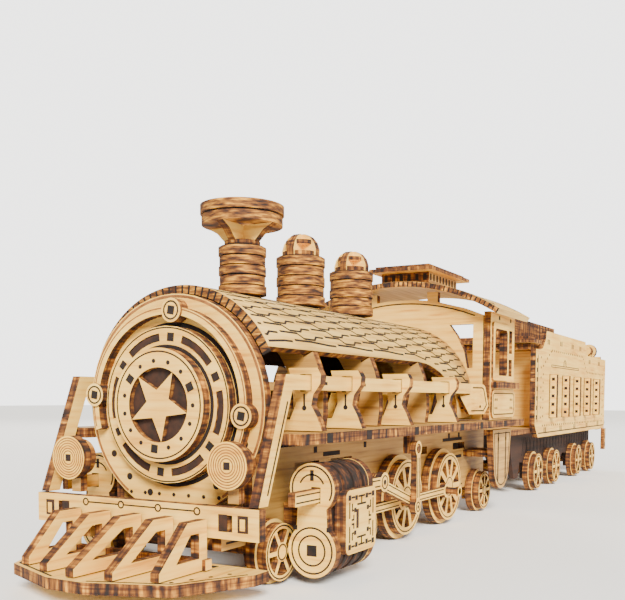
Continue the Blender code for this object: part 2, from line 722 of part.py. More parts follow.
def tender_walls():
    half_width = TENDER_Y - GAP
    base, under_top = FLOOR_Z[1] + GAP, TENDER_TOP[0] - GAP
    place("tender_front", plate("X", 52.0, 52.0 + PLY, rectangle(-half_width, half_width, base, under_top)))
    rear_x = TENDER_REAR - PLY
    rear = place("tender_rear", plate("X", rear_x, TENDER_REAR, rectangle(-half_width, half_width, 25.0, 68.0)))
    for side in (-1, 1):
        lamp = (side * REAR_LAMP[0], REAR_LAMP[1])
        knob = (side * KNOB[0], KNOB[1])
        bracket_y = (lamp[0] - 2.0, lamp[0] + 2.0)
        join(rear, box((rear_x + 0.2, TENDER_REAR - 0.2), bracket_y, (66.5, lamp[1])),
             plate("X", 191.0, 198.2, circle(lamp, 2.8, 16)),
             plate("X", 198.0, 202.0, circle(lamp, 4.3, 20)),
             plate("X", TENDER_REAR - 0.2, KNOB_X[0] + 0.2, circle(knob, 2.0, 12)),
             plate("X", KNOB_X[0], KNOB_X[1], circle(knob, 4.3, 20)))
    top = place("tender_top", box((41.0, rear_x - GAP), (-half_width, half_width), TENDER_TOP), SHADED_BIRCH)
    bin_wall = plate("Z", TENDER_TOP[1] - 0.2, 81.0, rectangle(66.0, 141.0, -10.0, 10.0),
                     [rectangle(66.0 + PLY, 141.0 - PLY, -10.0 + PLY, 10.0 - PLY)])
    join(top, bin_wall)


def truck_frame(name, side):
    """The frame plate beside the tender's wheels, with its slanting front end."""
    top, bottom = FLOOR_Z[0] - GAP, 13.0
    outline = [(31.0, top), (30.5, 21.0), (37.0, 6.8), (43.5, 6.8), (45.5, bottom + 0.6)]
    for number, x in enumerate(TENDER_X):
        low = TENDER_R - 3.4
        outline += [(x - 5.0, bottom), (x - 3.6, low), (x + 3.6, low), (x + 5.0, bottom + 0.6)]
        if number == 1:
            outline += [(109.0, bottom), (117.3, 7.0), (125.6, bottom + 0.6)]
    outline += [(188.0, bottom), (188.0, 7.0), (193.0, 7.0), (193.0, top)]
    holes = [circle((x, TENDER_R), AXLE_BORE_R, 16) for x in TENDER_X]
    low, high = side_range(side, TRUCK_Y, PLY)
    place(name, plate("Y", low, high, outline, holes), SHADED_BIRCH)


def make_tender():
    for side, word in ((-1, "left"), (1, "right")):
        tender_side(f"tender_side_{word}", side)
        truck_frame(f"truck_frame_{word}", side)
    tender_floor()
    tender_walls()


def main():
    clear_scene()
    make_wheels()
    make_running_gear()
    make_frame()
    make_boiler()
    make_cab()
    make_tender()


main()
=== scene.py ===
"""Looks for the wooden steam locomotive and tender: materials, fine pieces, floor, light, camera.

Helpers work in millimetres in the CAD's frame; each mesh is scaled to metres once, as it is stored.
"""

import functools
import json
import math

import bmesh
import bpy
from mathutils import Matrix, Vector
from mathutils.geometry import delaunay_2d_cdt


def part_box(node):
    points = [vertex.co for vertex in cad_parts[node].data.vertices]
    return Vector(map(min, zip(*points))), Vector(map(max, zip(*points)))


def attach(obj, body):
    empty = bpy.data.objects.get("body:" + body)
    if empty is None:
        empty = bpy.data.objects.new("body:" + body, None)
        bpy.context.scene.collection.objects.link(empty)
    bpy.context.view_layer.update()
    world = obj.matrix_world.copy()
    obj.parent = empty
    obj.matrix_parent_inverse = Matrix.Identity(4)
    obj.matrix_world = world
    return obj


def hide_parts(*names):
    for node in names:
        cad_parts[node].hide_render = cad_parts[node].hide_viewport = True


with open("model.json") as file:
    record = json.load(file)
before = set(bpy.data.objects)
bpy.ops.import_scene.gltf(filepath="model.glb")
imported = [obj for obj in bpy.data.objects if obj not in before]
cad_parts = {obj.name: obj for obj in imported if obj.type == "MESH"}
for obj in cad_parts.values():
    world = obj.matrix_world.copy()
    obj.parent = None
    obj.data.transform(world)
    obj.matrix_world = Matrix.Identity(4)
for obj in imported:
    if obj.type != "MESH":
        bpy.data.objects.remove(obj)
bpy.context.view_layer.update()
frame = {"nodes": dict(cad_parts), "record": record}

MM = 0.001
PLY = 2.4
PROUD = 0.07             # an engraved line stands this far out of its sheet, so that it shows
SUNK = 0.03              # and it starts this far inside the sheet
SCORCH = 1.45            # the laser's scorch widens every engraved line by this factor
FINE = 0.22              # width of a fine engraved line, before the scorch
LID = 0.08               # a drawn top ends this far under its CAD node's, to leave room for engraving
SIDES = ((-1, "left"), (1, "right"))


def span(name):
    """Lowest and highest corner of a CAD node in millimetres."""
    low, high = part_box(name)
    return Vector(low) * 1000.0, Vector(high) * 1000.0


def outermost(name):
    """How far a CAD node reaches from the train's middle plane."""
    low, high = span(name)
    return max(abs(low.y), abs(high.y))


def outward(side, near, far):
    """The range of y between two distances from the middle plane, on one side."""
    return sorted((side * near, side * far))


# -------------------- materials

def linear(*rgb):
    """An sRGB colour, 0 to 255, as the linear colour that a shader socket takes."""
    shares = [value / 255.0 for value in rgb]
    curved = [s / 12.92 if s <= 0.04045 else ((s + 0.055) / 1.055) ** 2.4 for s in shares]
    return (*curved, 1.0)


def stops(*rows):
    """Colour ramp stops from rows of (place on the noise, red, green, blue)."""
    return [(place, linear(*rgb)) for place, *rgb in rows]


def new_material(name):
    material = bpy.data.materials.new(name)
    material.use_nodes = True
    return material, material.node_tree, material.node_tree.nodes["Principled BSDF"]


def node(tree, kind, **values):
    made = tree.nodes.new(kind)
    for key, value in values.items():
        setattr(made, key, value)
    return made


def streaks(tree, coord, scale, detail, colours):
    """Noise stretched by a per-axis scale, through a colour ramp; gives (colour, factor) sockets."""
    mapping = node(tree, "ShaderNodeMapping")
    mapping.inputs["Scale"].default_value = scale
    tree.links.new(coord, mapping.inputs["Vector"])
    noise = node(tree, "ShaderNodeTexNoise")
    noise.inputs["Scale"].default_value = 1.0
    noise.inputs["Detail"].default_value = detail
    tree.links.new(mapping.outputs["Vector"], noise.inputs["Vector"])
    ramp = node(tree, "ShaderNodeValToRGB")
    while len(ramp.color_ramp.elements) < len(colours):
        ramp.color_ramp.elements.new(0.5)
    for element, (place, colour) in zip(ramp.color_ramp.elements, colours):
        element.position = place
        element.color = colour
    tree.links.new(noise.outputs["Fac"], ramp.inputs["Fac"])
    return ramp.outputs["Color"], noise.outputs["Fac"]


def mix(tree, factor, a, b, blend="MIX"):
    """Two colours blended by a factor; each is a socket or a value."""
    made = node(tree, "ShaderNodeMix", data_type="RGBA", blend_type=blend)
    for socket, value in ((made.inputs[0], factor), (made.inputs[6], a), (made.inputs[7], b)):
        if hasattr(value, "is_output"):
            tree.links.new(value, socket)
        else:
            socket.default_value = value
    return made.outputs[2]


# Blender's default view transform takes colour out of bright tones, so these are more saturated than wood.
FACE_STOPS = stops((0.28, 208, 148, 56), (0.45, 236, 187, 86), (0.72, 245, 206, 110))
# The S stops are painted shade: a darker copy of the face colours, for pieces that sit in shade.
PAINTED_SHADE_STOPS = stops((0.28, 132, 92, 38), (0.45, 176, 132, 62), (0.72, 200, 158, 82))
LAMP_STOPS = stops((0.28, 220, 156, 44), (0.45, 242, 186, 70), (0.72, 248, 206, 96))
EDGE_STOPS = stops((0.34, 32, 13, 4), (0.44, 84, 45, 11), (0.56, 138, 84, 22), (0.71, 212, 148, 50))
CHAR_STOPS = stops((0.38, 16, 7, 2), (0.52, 40, 18, 5), (0.68, 92, 50, 15))
STACK_STOPS = stops((0.32, 34, 14, 4), (0.43, 88, 48, 11), (0.54, 140, 88, 20), (0.70, 204, 144, 44))
BENT_STOPS = stops((0.28, 172, 128, 54), (0.45, 204, 162, 80), (0.72, 224, 186, 104))
DARK_STOPS = stops((0.35, 12, 5, 2), (0.65, 32, 13, 5))
SCORCH_STOPS = stops((0.35, 112, 66, 26), (0.65, 150, 96, 44))
# Deeper painted shade: dark sheets put in openings, recesses and insides where there is only shade.
PAINTED_DEEP_SHADE_STOPS = stops((0.3, 26, 11, 4), (0.7, 58, 29, 10))
BLOTCH_STOPS = stops((0.35, 236, 222, 198), (0.65, 255, 255, 255))
LAYER_STOPS = stops((0.40, 132, 96, 66), (0.56, 255, 255, 255))

# Noise per metre along x, y and z, for a sheet that lies across each axis: the grain of its face, the
# streaks through its cut edges, and the layers that the edges show.
GRAIN = {"X": (900.0, 60.0, 900.0), "Y": (45.0, 900.0, 900.0), "Z": (45.0, 900.0, 900.0)}
THROUGH = {"X": (140.0, 850.0, 850.0), "Y": (850.0, 140.0, 850.0), "Z": (850.0, 850.0, 140.0)}
LAYER = {"X": (1250.0, 60.0, 60.0), "Y": (60.0, 1250.0, 60.0), "Z": (60.0, 60.0, 1250.0)}
BLOTCH = (55.0, 55.0, 55.0)

BLOTCH_SHARE, LAYER_SHARE = 0.8, 0.85
FACE_ROUGH, EDGE_ROUGH = 0.60, 0.88
FLAT = 0.7               # a normal with more than this along the sheet's axis belongs to its face
BUMP_STRENGTH, BUMP_DISTANCE = 0.22, 0.0002


def finish_wood(tree, shader, colour, height, rough):
    """Links colour, relief and any roughness to the shader."""
    tree.links.new(colour, shader.inputs["Base Color"])
    if rough is not None:
        tree.links.new(rough, shader.inputs["Roughness"])
    bump = node(tree, "ShaderNodeBump")
    bump.inputs["Strength"].default_value = BUMP_STRENGTH
    bump.inputs["Distance"].default_value = BUMP_DISTANCE
    tree.links.new(height, bump.inputs["Height"])
    tree.links.new(bump.outputs["Normal"], shader.inputs["Normal"])


def ply(name, axis, colours):
    """Plywood sheet lying across an axis: a pale grained face, and laser-burnt streaks on its edges."""
    material, tree, shader = new_material(name)
    coord = node(tree, "ShaderNodeTexCoord")
    place = coord.outputs["Object"]
    face, grain = streaks(tree, place, GRAIN[axis], 4.0, colours)
    blotch, _ = streaks(tree, place, BLOTCH, 2.0, BLOTCH_STOPS)
    face = mix(tree, BLOTCH_SHARE, face, blotch, "MULTIPLY")
    edge, _ = streaks(tree, place, THROUGH[axis], 6.0, EDGE_STOPS)
    layers, _ = streaks(tree, place, LAYER[axis], 2.0, LAYER_STOPS)
    edge = mix(tree, LAYER_SHARE, edge, layers, "MULTIPLY")
    split = node(tree, "ShaderNodeSeparateXYZ")
    tree.links.new(coord.outputs["Normal"], split.inputs[0])
    size = node(tree, "ShaderNodeMath", operation="ABSOLUTE")
    tree.links.new(split.outputs[axis], size.inputs[0])
    is_face = node(tree, "ShaderNodeMath", operation="GREATER_THAN")
    is_face.inputs[1].default_value = FLAT
    tree.links.new(size.outputs[0], is_face.inputs[0])
    rough = node(tree, "ShaderNodeMapRange")
    rough.inputs["To Min"].default_value = EDGE_ROUGH
    rough.inputs["To Max"].default_value = FACE_ROUGH
    tree.links.new(is_face.outputs[0], rough.inputs["Value"])
    finish_wood(tree, shader, mix(tree, is_face.outputs[0], edge, face), grain, rough.outputs[0])
    return material


def plain_wood(name, colours, scale, roughness):
    """Wood that looks the same on every side, for bent sheets, burnt edges and engraving."""
    material, tree, shader = new_material(name)
    coord = node(tree, "ShaderNodeTexCoord")
    colour, height = streaks(tree, coord.outputs["Object"], scale, 4.0, colours)
    shader.inputs["Roughness"].default_value = roughness
    finish_wood(tree, shader, colour, height, None)
    return material


# X, Y and Z: pale plywood across that axis. S is the same plywood darkened with painted shade, L the
# lamps' yellower one.
PALETTE = {
    "X": ply("ply_across_x", "X", FACE_STOPS),
    "Y": ply("ply_across_y", "Y", FACE_STOPS),
    "Z": ply("ply_across_z", "Z", FACE_STOPS),
    "SX": ply("painted_shade_ply_across_x", "X", PAINTED_SHADE_STOPS),
    "SY": ply("painted_shade_ply_across_y", "Y", PAINTED_SHADE_STOPS),
    "SZ": ply("painted_shade_ply_across_z", "Z", PAINTED_SHADE_STOPS),
    "LX": ply("lamp_ply_across_x", "X", LAMP_STOPS),
    "bent": plain_wood("bent_sheet", BENT_STOPS, (45.0, 700.0, 700.0), 0.62),
    "burnt": plain_wood("burnt_edge", EDGE_STOPS, (600.0, 500.0, 500.0), 0.88),
    "charred": plain_wood("charred_edge", CHAR_STOPS, (1100.0, 420.0, 420.0), 0.9),
    "stack": plain_wood("stacked_edge", STACK_STOPS, (260.0, 260.0, 1500.0), 0.85),
    "dark": plain_wood("engraved_line", DARK_STOPS, (600.0, 600.0, 600.0), 0.9),
    "scorch": plain_wood("scorched_line", SCORCH_STOPS, (600.0, 600.0, 600.0), 0.85),
    # inner: the deepest painted shade, for openings, recesses, insides and the truck frames.
    "inner": plain_wood("painted_deep_shade_sheet", PAINTED_DEEP_SHADE_STOPS, (40.0, 500.0, 500.0), 0.85),
}
KEYS = list(PALETTE)


# -------------------- mesh helpers

def to_space(axis, u, v, w):
    """A point (u, v) of the plane across an axis, w along it; or of a bent one, if axis is a function."""
    if callable(axis):
        return axis(u, v, w)
    return {"X": (w, u, v), "Y": (u, w, v), "Z": (u, v, w)}[axis]


def polar(centre, radius, angle):
    """The point at a radius and an angle in degrees from a centre."""
    turn = math.radians(angle)
    return (centre[0] + radius * math.cos(turn), centre[1] + radius * math.sin(turn))


def on_bend(radius, axis_z, x, s, r):
    """The point at x, a distance s round a bent sheet of this radius from its top, r from its axis."""
    angle = s / radius
    return (x, r * math.sin(angle), axis_z + r * math.cos(angle))


def arc(centre, radius, start, end, steps):
    """Points along a circle's arc, both ends included."""
    return [polar(centre, radius, start + (end - start) * i / steps) for i in range(steps + 1)]


def band(first, second, start, end, steps, centre):
    """A stretch of a flat ring: out along the first radius and back along the second."""
    return arc(centre, first, start, end, steps) + arc(centre, second, end, start, steps)


def circle(centre, radius, steps=32):
    """Points round a full circle, none of them twice."""
    return arc(centre, radius, 0.0, 360.0, steps)[:-1]


def rectangle(u0, u1, v0, v1):
    return [(u0, v0), (u1, v0), (u1, v1), (u0, v1)]


def rounded(u0, u1, v0, v1, r, steps=4):
    """A rectangle with corners of radius r."""
    return (arc((u1 - r, v0 + r), r, -90, 0, steps) + arc((u1 - r, v1 - r), r, 0, 90, steps)
            + arc((u0 + r, v1 - r), r, 90, 180, steps) + arc((u0 + r, v0 + r), r, 180, 270, steps))


def area(loop):
    """A loop's area, negative if it runs clockwise."""
    return sum(a[0] * b[1] - b[0] * a[1] for a, b in zip(loop, loop[1:] + loop[:1])) / 2


def add_face(bm, corners, mat, smooth=False):
    face = bm.faces.new(corners)
    face.material_index = KEYS.index(mat)
    face.smooth = smooth


def plate(bm, axis, low, high, outline, holes=(), mat="X"):
    """An extruded outline with holes, added to a bmesh."""
    loops = [list(outline)] + [list(hole) for hole in holes]
    flat = [point for loop in loops for point in loop]
    rings = []
    start = 0
    for loop in loops:
        ring = list(range(start, start + len(loop)))
        rings.append(ring if area(loop) > 0 else ring[::-1])
        start += len(loop)
    _, _, faces, origin, _, parents = delaunay_2d_cdt([Vector(p) for p in flat], [], rings, 1, 1e-6)
    bottom = [bm.verts.new(to_space(axis, u, v, low)) for u, v in flat]
    top = [bm.verts.new(to_space(axis, u, v, high)) for u, v in flat]
    for face, parent in zip(faces, parents):
        if parent == [0]:
            a, b, c = (origin[v][0] for v in face)
            add_face(bm, (bottom[a], bottom[c], bottom[b]), mat)
            add_face(bm, (top[a], top[b], top[c]), mat)
    start = 0
    for loop in loops:
        for i in range(len(loop)):
            a, b = start + i, start + (i + 1) % len(loop)
            add_face(bm, (bottom[a], bottom[b], top[b], top[a]), mat)
        start += len(loop)


def box(bm, x, y, z, mat="X"):
    """A block between two values on each axis, in either order."""
    plate(bm, "Z", min(z), max(z), rectangle(min(x), max(x), min(y), max(y)), (), mat)


def line(bm, axis, low, high, path, width=0.35, closed=False, mat="dark"):
    """A mitred ribbon along a path, as a closed prism."""
    count = len(path)
    edges = []
    for i, (u, v) in enumerate(path):
        before = path[i - 1] if i or closed else path[i]
        after = path[(i + 1) % count] if i < count - 1 or closed else path[i]
        d1 = Vector((u - before[0], v - before[1]))
        d2 = Vector((after[0] - u, after[1] - v))
        d1 = d1.normalized() if d1.length > 1e-9 else d2.normalized()
        d2 = d2.normalized() if d2.length > 1e-9 else d1
        along = (d1 + d2).normalized() if (d1 + d2).length > 1e-6 else d1
        reach = width / 2 / max(along.dot(d1), 0.5)
        edges.append([(u - along.y * reach * s, v + along.x * reach * s) for s in (1, -1)])
    corners = ((0, low), (1, low), (1, high), (0, high))
    rows = [[bm.verts.new(to_space(axis, *edge[s], w)) for s, w in corners] for edge in edges]
    for i in range(count if closed else count - 1):
        a, b = rows[i], rows[(i + 1) % count]
        for k in range(4):
            add_face(bm, (a[k], a[(k + 1) % 4], b[(k + 1) % 4], b[k]), mat)
    if not closed:
        for row in (rows[0], rows[-1]):
            add_face(bm, row, mat)


class Marks:
    """Engraving on one face, a little proud of it."""

    def __init__(self, bm, axis, face, out):
        self.bm, self.axis = bm, axis
        self.low, self.high = sorted((face - SUNK * out, face + PROUD * out))

    def line(self, path, width=0.35, closed=False, mat="dark"):
        line(self.bm, self.axis, self.low, self.high, path, width * SCORCH, closed, mat)

    def ring(self, centre, radius, width=0.3, steps=36, mat="dark"):
        self.line(circle(centre, radius, steps), width, True, mat)

    def shape(self, outline, mat="dark"):
        plate(self.bm, self.axis, self.low, self.high, outline, (), mat)

    def dot(self, centre, radius=0.4, steps=8):
        self.shape(circle(centre, radius, steps))

    def square(self, centre, half=0.8, turn=0.0):
        reach = half * 1.414             # from the middle to a corner
        self.shape([polar(centre, reach, turn + 45 + 90 * k) for k in range(4)])

    def row(self, a, b, pitch=4.0, radius=0.55):
        """Evenly spaced rivets from a to b, about a pitch apart."""
        length = math.dist(a, b)
        count = max(1, round(length / pitch))
        for i in range(count + 1):
            t = i / count
            self.dot((a[0] + (b[0] - a[0]) * t, a[1] + (b[1] - a[1]) * t), radius, 6)


def engraving(axis, face, out):
    """An empty bmesh, and marks on one face to fill it with."""
    bm = bmesh.new()
    return bm, Marks(bm, axis, face, out)


def piece(name, bm, body="locomotive", replaces=()):
    """Stores a bmesh as a piece that rides on a body, with the materials that it uses."""
    bmesh.ops.recalc_face_normals(bm, faces=bm.faces[:])
    bmesh.ops.scale(bm, verts=bm.verts[:], vec=(MM, MM, MM))
    used = sorted({face.material_index for face in bm.faces})
    for face in bm.faces:
        face.material_index = used.index(face.material_index)
    mesh = bpy.data.meshes.new(name)
    bm.to_mesh(mesh)
    bm.free()
    for index in used:
        mesh.materials.append(PALETTE[KEYS[index]])
    obj = bpy.data.objects.new(name, mesh)
    bpy.context.scene.collection.objects.link(obj)
    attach(obj, body)
    if replaces:
        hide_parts(*replaces)


# -------------------- finishes on the CAD nodes

def both(*names):
    """The left and the right node of each name."""
    return [f"{name}_{word}" for _, word in SIDES for name in names]


POSTS = [f"cross_frame_{i}" for i in (1, 2, 3, 4)]
FORMERS = [f"boiler_former_{i}" for i in (1, 2, 3)]
END_PLATES = ["smokebox_front", "smokebox_ring", "buffer_beam", "cab_front", "tender_front", "tender_rear"]
# SX, SY and SZ paint shade onto the formers, the boiler and frame sides, the deck and the tender's floor
# and top.
FINISH = {
    "X": END_PLATES + POSTS,
    "SX": FORMERS,
    "Y": both("handrail", "coupling_rod", "main_rod", "lever", "crosshead", "cab_side", "tender_side")
         + ["pilot_grille"],
    "SY": both("boiler_side", "frame_side"),
    # inner paints deep shade onto the truck frames.
    "inner": both("truck_frame"),
    "Z": ["pilot_base"],
    "SZ": ["deck", "tender_floor", "tender_top"],
}
for key, names in FINISH.items():
    for name in names:
        mesh = frame["nodes"][name].data
        mesh.materials.clear()
        mesh.materials.append(PALETTE[key])


# -------------------- wheels

LOCOMOTIVE_FACE, TENDER_FACE = 25.6, 24.6      # how far from the middle the wheels' outer faces stand
WHEEL_DEPTH, DISC, LAP = 5.0, 2.5, 0.1         # a wheel, one of its discs, and how far the discs overlap
AXLE_R, AXLE_TIP = 1.5, 0.1
HUB, RIM, SPOKE, TREAD = 0.30, 0.72, 0.14, 0.89    # shares of the wheel's radius
CRANK = (-7.8, -0.5)                           # crank pin from its axle, in x and z
SPOKES = {"wheelset_pilot_front": 6, "wheelset_pilot_rear": 6, "driver_front": 10, "driver_rear": 10,
          "wheelset_trailing": 8, "tender_wheelset_1": 6, "tender_wheelset_2": 6, "tender_wheelset_3": 6,
          "tender_wheelset_4": 6}


def openings(centre, hub, rim, count, spoke):
    holes = []
    for i in range(count):
        middle = 360.0 * (i + 0.5) / count
        inner = 180.0 / count - math.degrees(spoke / (2 * hub))
        outer = 180.0 / count - math.degrees(spoke / (2 * rim))
        holes.append(arc(centre, hub, middle - inner, middle + inner, 2)
                     + arc(centre, rim, middle + outer, middle - outer, 4))
    return holes


def crank_pin(bm, pin, side, face, tip):
    """A boss on the wheel, the pin in it, and a washer at the pin's tip."""
    plate(bm, "Y", *outward(side, face - WHEEL_DEPTH, face - LAP), circle(pin, 2.2, 18), (), "Y")
    plate(bm, "Y", *outward(side, face - 1.5, tip), circle(pin, 1.1, 14), (), "Y")
    plate(bm, "Y", *outward(side, tip - 0.15, tip), circle(pin, 1.8, 16), (), "Y")


def wheelset(name, x, radius, spokes):
    """Each wheel is a larger flange disc with a smaller tread disc on it, on a round axle."""
    face = TENDER_FACE if name.startswith("tender") else LOCOMOTIVE_FACE
    centre = (x, radius)
    bm = bmesh.new()
    plate(bm, "Y", -face - AXLE_TIP, face + AXLE_TIP, circle(centre, AXLE_R, 16), (), "Y")
    holes = openings(centre, radius * HUB, radius * RIM, spokes, radius * SPOKE)
    for side, _ in SIDES:
        flange = outward(side, face - WHEEL_DEPTH, face - DISC)
        tread = outward(side, face - DISC - LAP, face)
        plate(bm, "Y", *flange, circle(centre, radius, 56), holes, "Y")
        plate(bm, "Y", *tread, circle(centre, radius * TREAD, 48), holes, "Y")
        marks = Marks(bm, "Y", side * face, side)
        marks.ring(centre, radius * 0.82, FINE)
        marks.ring(centre, radius * 0.24, FINE, 20)
        marks.square(centre, 0.55)
        if name.startswith("driver"):
            crank_pin(bm, (x + CRANK[0], radius + CRANK[1]), side, face, span(name)[1].y)
    piece(f"{name}_wheels", bm, name, (name,))


joints = [joint for joint in frame["record"]["behaviour"]["joints"] if "pos_m" in joint]
axles = {joint["child"]: joint["pos_m"] for joint in joints}
for name, spokes in SPOKES.items():
    x, _, z = axles[name]
    wheelset(name, x * 1000.0, z * 1000.0, spokes)


# -------------------- smokebox

BOILER_Z = 40.5
AXIS = (0.0, BOILER_Z)
SLOT_MIDDLES = range(6, 360, 60)         # degrees round the boiler's axis, from +y towards +z
FRONT_SLOT, FRONT_SLOT_HALF = (16.7, 14.3), 20
RING_SLOT, RING_SLOT_HALF = (16.3, 14.7), 17.6
MEDALLION_R, RECESS_R = 12.9, 8.5
STAR_RADII = (8.45, 3.4)                 # its points and the notches between them
ARCH = (22.4, 20.6)
KNOB_R, KNOB_PROUD = 2.75, 0.6
RIM_TEETH, RIM_START, RIM_TURN = 30, 28.0, 124.0


def smokebox_front():
    """Rim, ring line, the slots behind the ring's, filled with painted shade, and bolts round the lower
    part.
    """
    bm, marks = engraving("X", span("smokebox_front")[0].x, -1)
    marks.line(arc(AXIS, 24.9, -56, 236, 90), 0.4, False, "scorch")
    marks.ring(AXIS, 18.5, 0.7, 80)
    for middle in SLOT_MIDDLES:
        slot = band(*FRONT_SLOT, middle - FRONT_SLOT_HALF, middle + FRONT_SLOT_HALF, 10, AXIS)
        # The slots are filled with painted shade.
        marks.shape(slot, "inner")
    for angle in (-14, -33, -52, -71, 236, 203, 221):
        marks.dot(polar(AXIS, 21.9, angle), 0.85, 12)
    marks.row((-13.0, 19.6), (13.0, 19.6), 4.0, 0.5)
    piece("smokebox_engraving", bm)


def smokebox_ring():
    """Dark strips of painted shade that close the slots, two lines, the broad one a painted shadow round
    the medallion, and squares between the slots.
    """
    low, high = span("smokebox_ring")
    bm = bmesh.new()
    for middle in SLOT_MIDDLES:
        slot = band(*RING_SLOT, middle - RING_SLOT_HALF, middle + RING_SLOT_HALF, 8, AXIS)
        # Painted shade fills the slots.
        plate(bm, "X", low.x + 0.3, high.x - 0.2, slot, (), "inner")
    marks = Marks(bm, "X", low.x, -1)
    marks.ring(AXIS, 17.6, 0.2, 64)
    # Painted shadow round the medallion.
    marks.ring(AXIS, 13.3, 0.6, 56)
    for angle in range(36, 360, 60):
        marks.square(polar(AXIS, 15.5, angle), 0.95, angle)
    piece("ring_engraving", bm)


def medallion():
    """A rim with a five-pointed star in it, which stands on a dark plate of painted shade that closes the
    recess.
    """
    low, high = span("smokebox_medallion")
    bm = bmesh.new()
    plate(bm, "X", low.x, high.x, circle(AXIS, MEDALLION_R, 64), [circle(AXIS, RECESS_R, 48)], "X")
    # A dark plate of painted shade closes the recess.
    plate(bm, "X", low.x + 1.5, high.x - 0.1, circle(AXIS, RECESS_R + 0.1, 48), (), "inner")
    star = [polar(AXIS, STAR_RADII[k % 2], 264 + 36 * k) for k in range(10)]
    plate(bm, "X", low.x + 0.1, low.x + 1.6, star)
    marks = Marks(bm, "X", low.x, -1)
    marks.ring(AXIS, 12.1, FINE, 56)
    for angle in range(36, 396, 24):
        if angle in (36, 156, 276):
            marks.square(polar(AXIS, 10.0, angle), 0.95, angle)
        else:
            marks.dot(polar(AXIS, 10.0, angle), 0.5, 12)
    piece("medallion_star", bm, replaces=("smokebox_medallion",))


def front_handrail():
    """The arch over the smokebox's front, with three knobs."""
    low, high = span("front_handrail")
    bm = bmesh.new()
    plate(bm, "X", low.x, high.x, band(*ARCH, -16, 208, 72, AXIS))
    Marks(bm, "X", low.x, -1).line(arc(AXIS, 22.0, -14, 206, 72), 0.18, False, "scorch")
    marks = Marks(bm, "X", low.x - KNOB_PROUD, -1)
    for angle in (6.0, 96.0, 186.0):
        knob = polar(AXIS, 21.5, angle)
        plate(bm, "X", low.x - KNOB_PROUD, high.x - 0.2, circle(knob, KNOB_R, 32))
        marks.ring(knob, 2.0, 0.25, 28)
        marks.square(knob, 0.95, 10)
    piece("handrail_arch", bm, replaces=("front_handrail",))


def rim_teeth():
    """The toothed arc behind the smokebox's front: a tooth, then a gap."""
    x = span("smokebox_front")[1].x + 0.1
    pitch = RIM_TURN / RIM_TEETH
    bm = bmesh.new()
    for k in range(RIM_TEETH + 1):
        angle = RIM_START + k * pitch
        for start, end, mat in ((-0.42, 0.30, "stack"), (0.30, 0.58, "dark")):
            tooth = band(25.7, 27.75, angle + start * pitch, angle + end * pitch, 2, AXIS)
            plate(bm, "X", x, x + 0.5, tooth, (), mat)
    piece("smokebox_rim_teeth", bm)


smokebox_front()
smokebox_ring()
medallion()
front_handrail()
rim_teeth()


# -------------------- headlamps, buffer beam and pilot

LAMP_Y, LAMP_Z = 22.8, 28.0
BOLTS, BOLT_Z = (16.2, 5.5, -5.2, -15.9), 18.2
WINDOWS = ((22.6, 1.1), (27.7, 1.3))     # distance from the middle and half width
SLATTED_Y = 27.7


def headlamp(side, word):
    """Two discs on a bracket; the front one has rings scorched into it."""
    low, high = span(f"headlamp_{word}")
    centre = (side * LAMP_Y, LAMP_Z)
    bm = bmesh.new()
    plate(bm, "X", low.x, low.x + PLY, circle(centre, 5.1, 48), (), "LX")
    plate(bm, "X", low.x + PLY - 0.1, high.x, circle(centre, 4.2, 40), (), "LX")
    bracket_y = (centre[0] - 1.4, centre[0] + 1.4)
    # The bracket takes the plywood with painted shade.
    box(bm, (low.x + PLY, high.x - 0.2), bracket_y, (low.z, centre[1] - 3.9), "SX")
    marks = Marks(bm, "X", low.x, -1)
    for radius in (4.6, 4.0, 3.4, 2.8, 2.2, 1.6):
        marks.ring(centre, radius, 0.15, 36, "scorch")
    marks.square(centre, 0.8)
    piece(f"headlamp_discs_{word}", bm, replaces=(f"headlamp_{word}",))


def buffer_beam():
    """Four bolts joined by a line, and two windows at each end, filled with painted shade, the outer with
    a slat.
    """
    x = span("buffer_beam")[0].x
    bm, marks = engraving("X", x, -1)
    for a, b in zip(BOLTS, BOLTS[1:]):
        marks.line([(a - 0.8, BOLT_Z), (b + 0.8, BOLT_Z)], 0.2)
    for y in BOLTS:
        marks.ring((y, BOLT_Z), 0.75, FINE, 18)
    slats = Marks(bm, "X", x - PROUD, -1)
    for side, _ in SIDES:
        for y, half in WINDOWS:
            # The windows are filled with painted shade.
            marks.shape(rectangle(side * y - half, side * y + half, 14.4, 18.0), "inner")
        slat_y = side * SLATTED_Y
        slats.shape(rectangle(slat_y - 0.6, slat_y + 0.7, 14.9, 17.3), "LX")
    piece("buffer_beam_engraving", bm)


def pilot():
    """A line and rivets along each edge, and a row of squares behind."""
    bm, marks = engraving("Z", span("pilot_base")[1].z, 1)
    for side, _ in SIDES:
        marks.line([(-182.6, side * 29.0), (-197.0, side * 21.2), (-203.2, side * 4.8)], 0.3)
        marks.row((-184.0, side * 25.5), (-196.0, side * 20.2), 4.0, 0.5)
    for k in range(-2, 3):
        marks.square((-179.6, k * 9.0), 0.8)
    piece("pilot_engraving", bm)


for side, word in SIDES:
    headlamp(side, word)
buffer_beam()
pilot()


# -------------------- boiler sheet

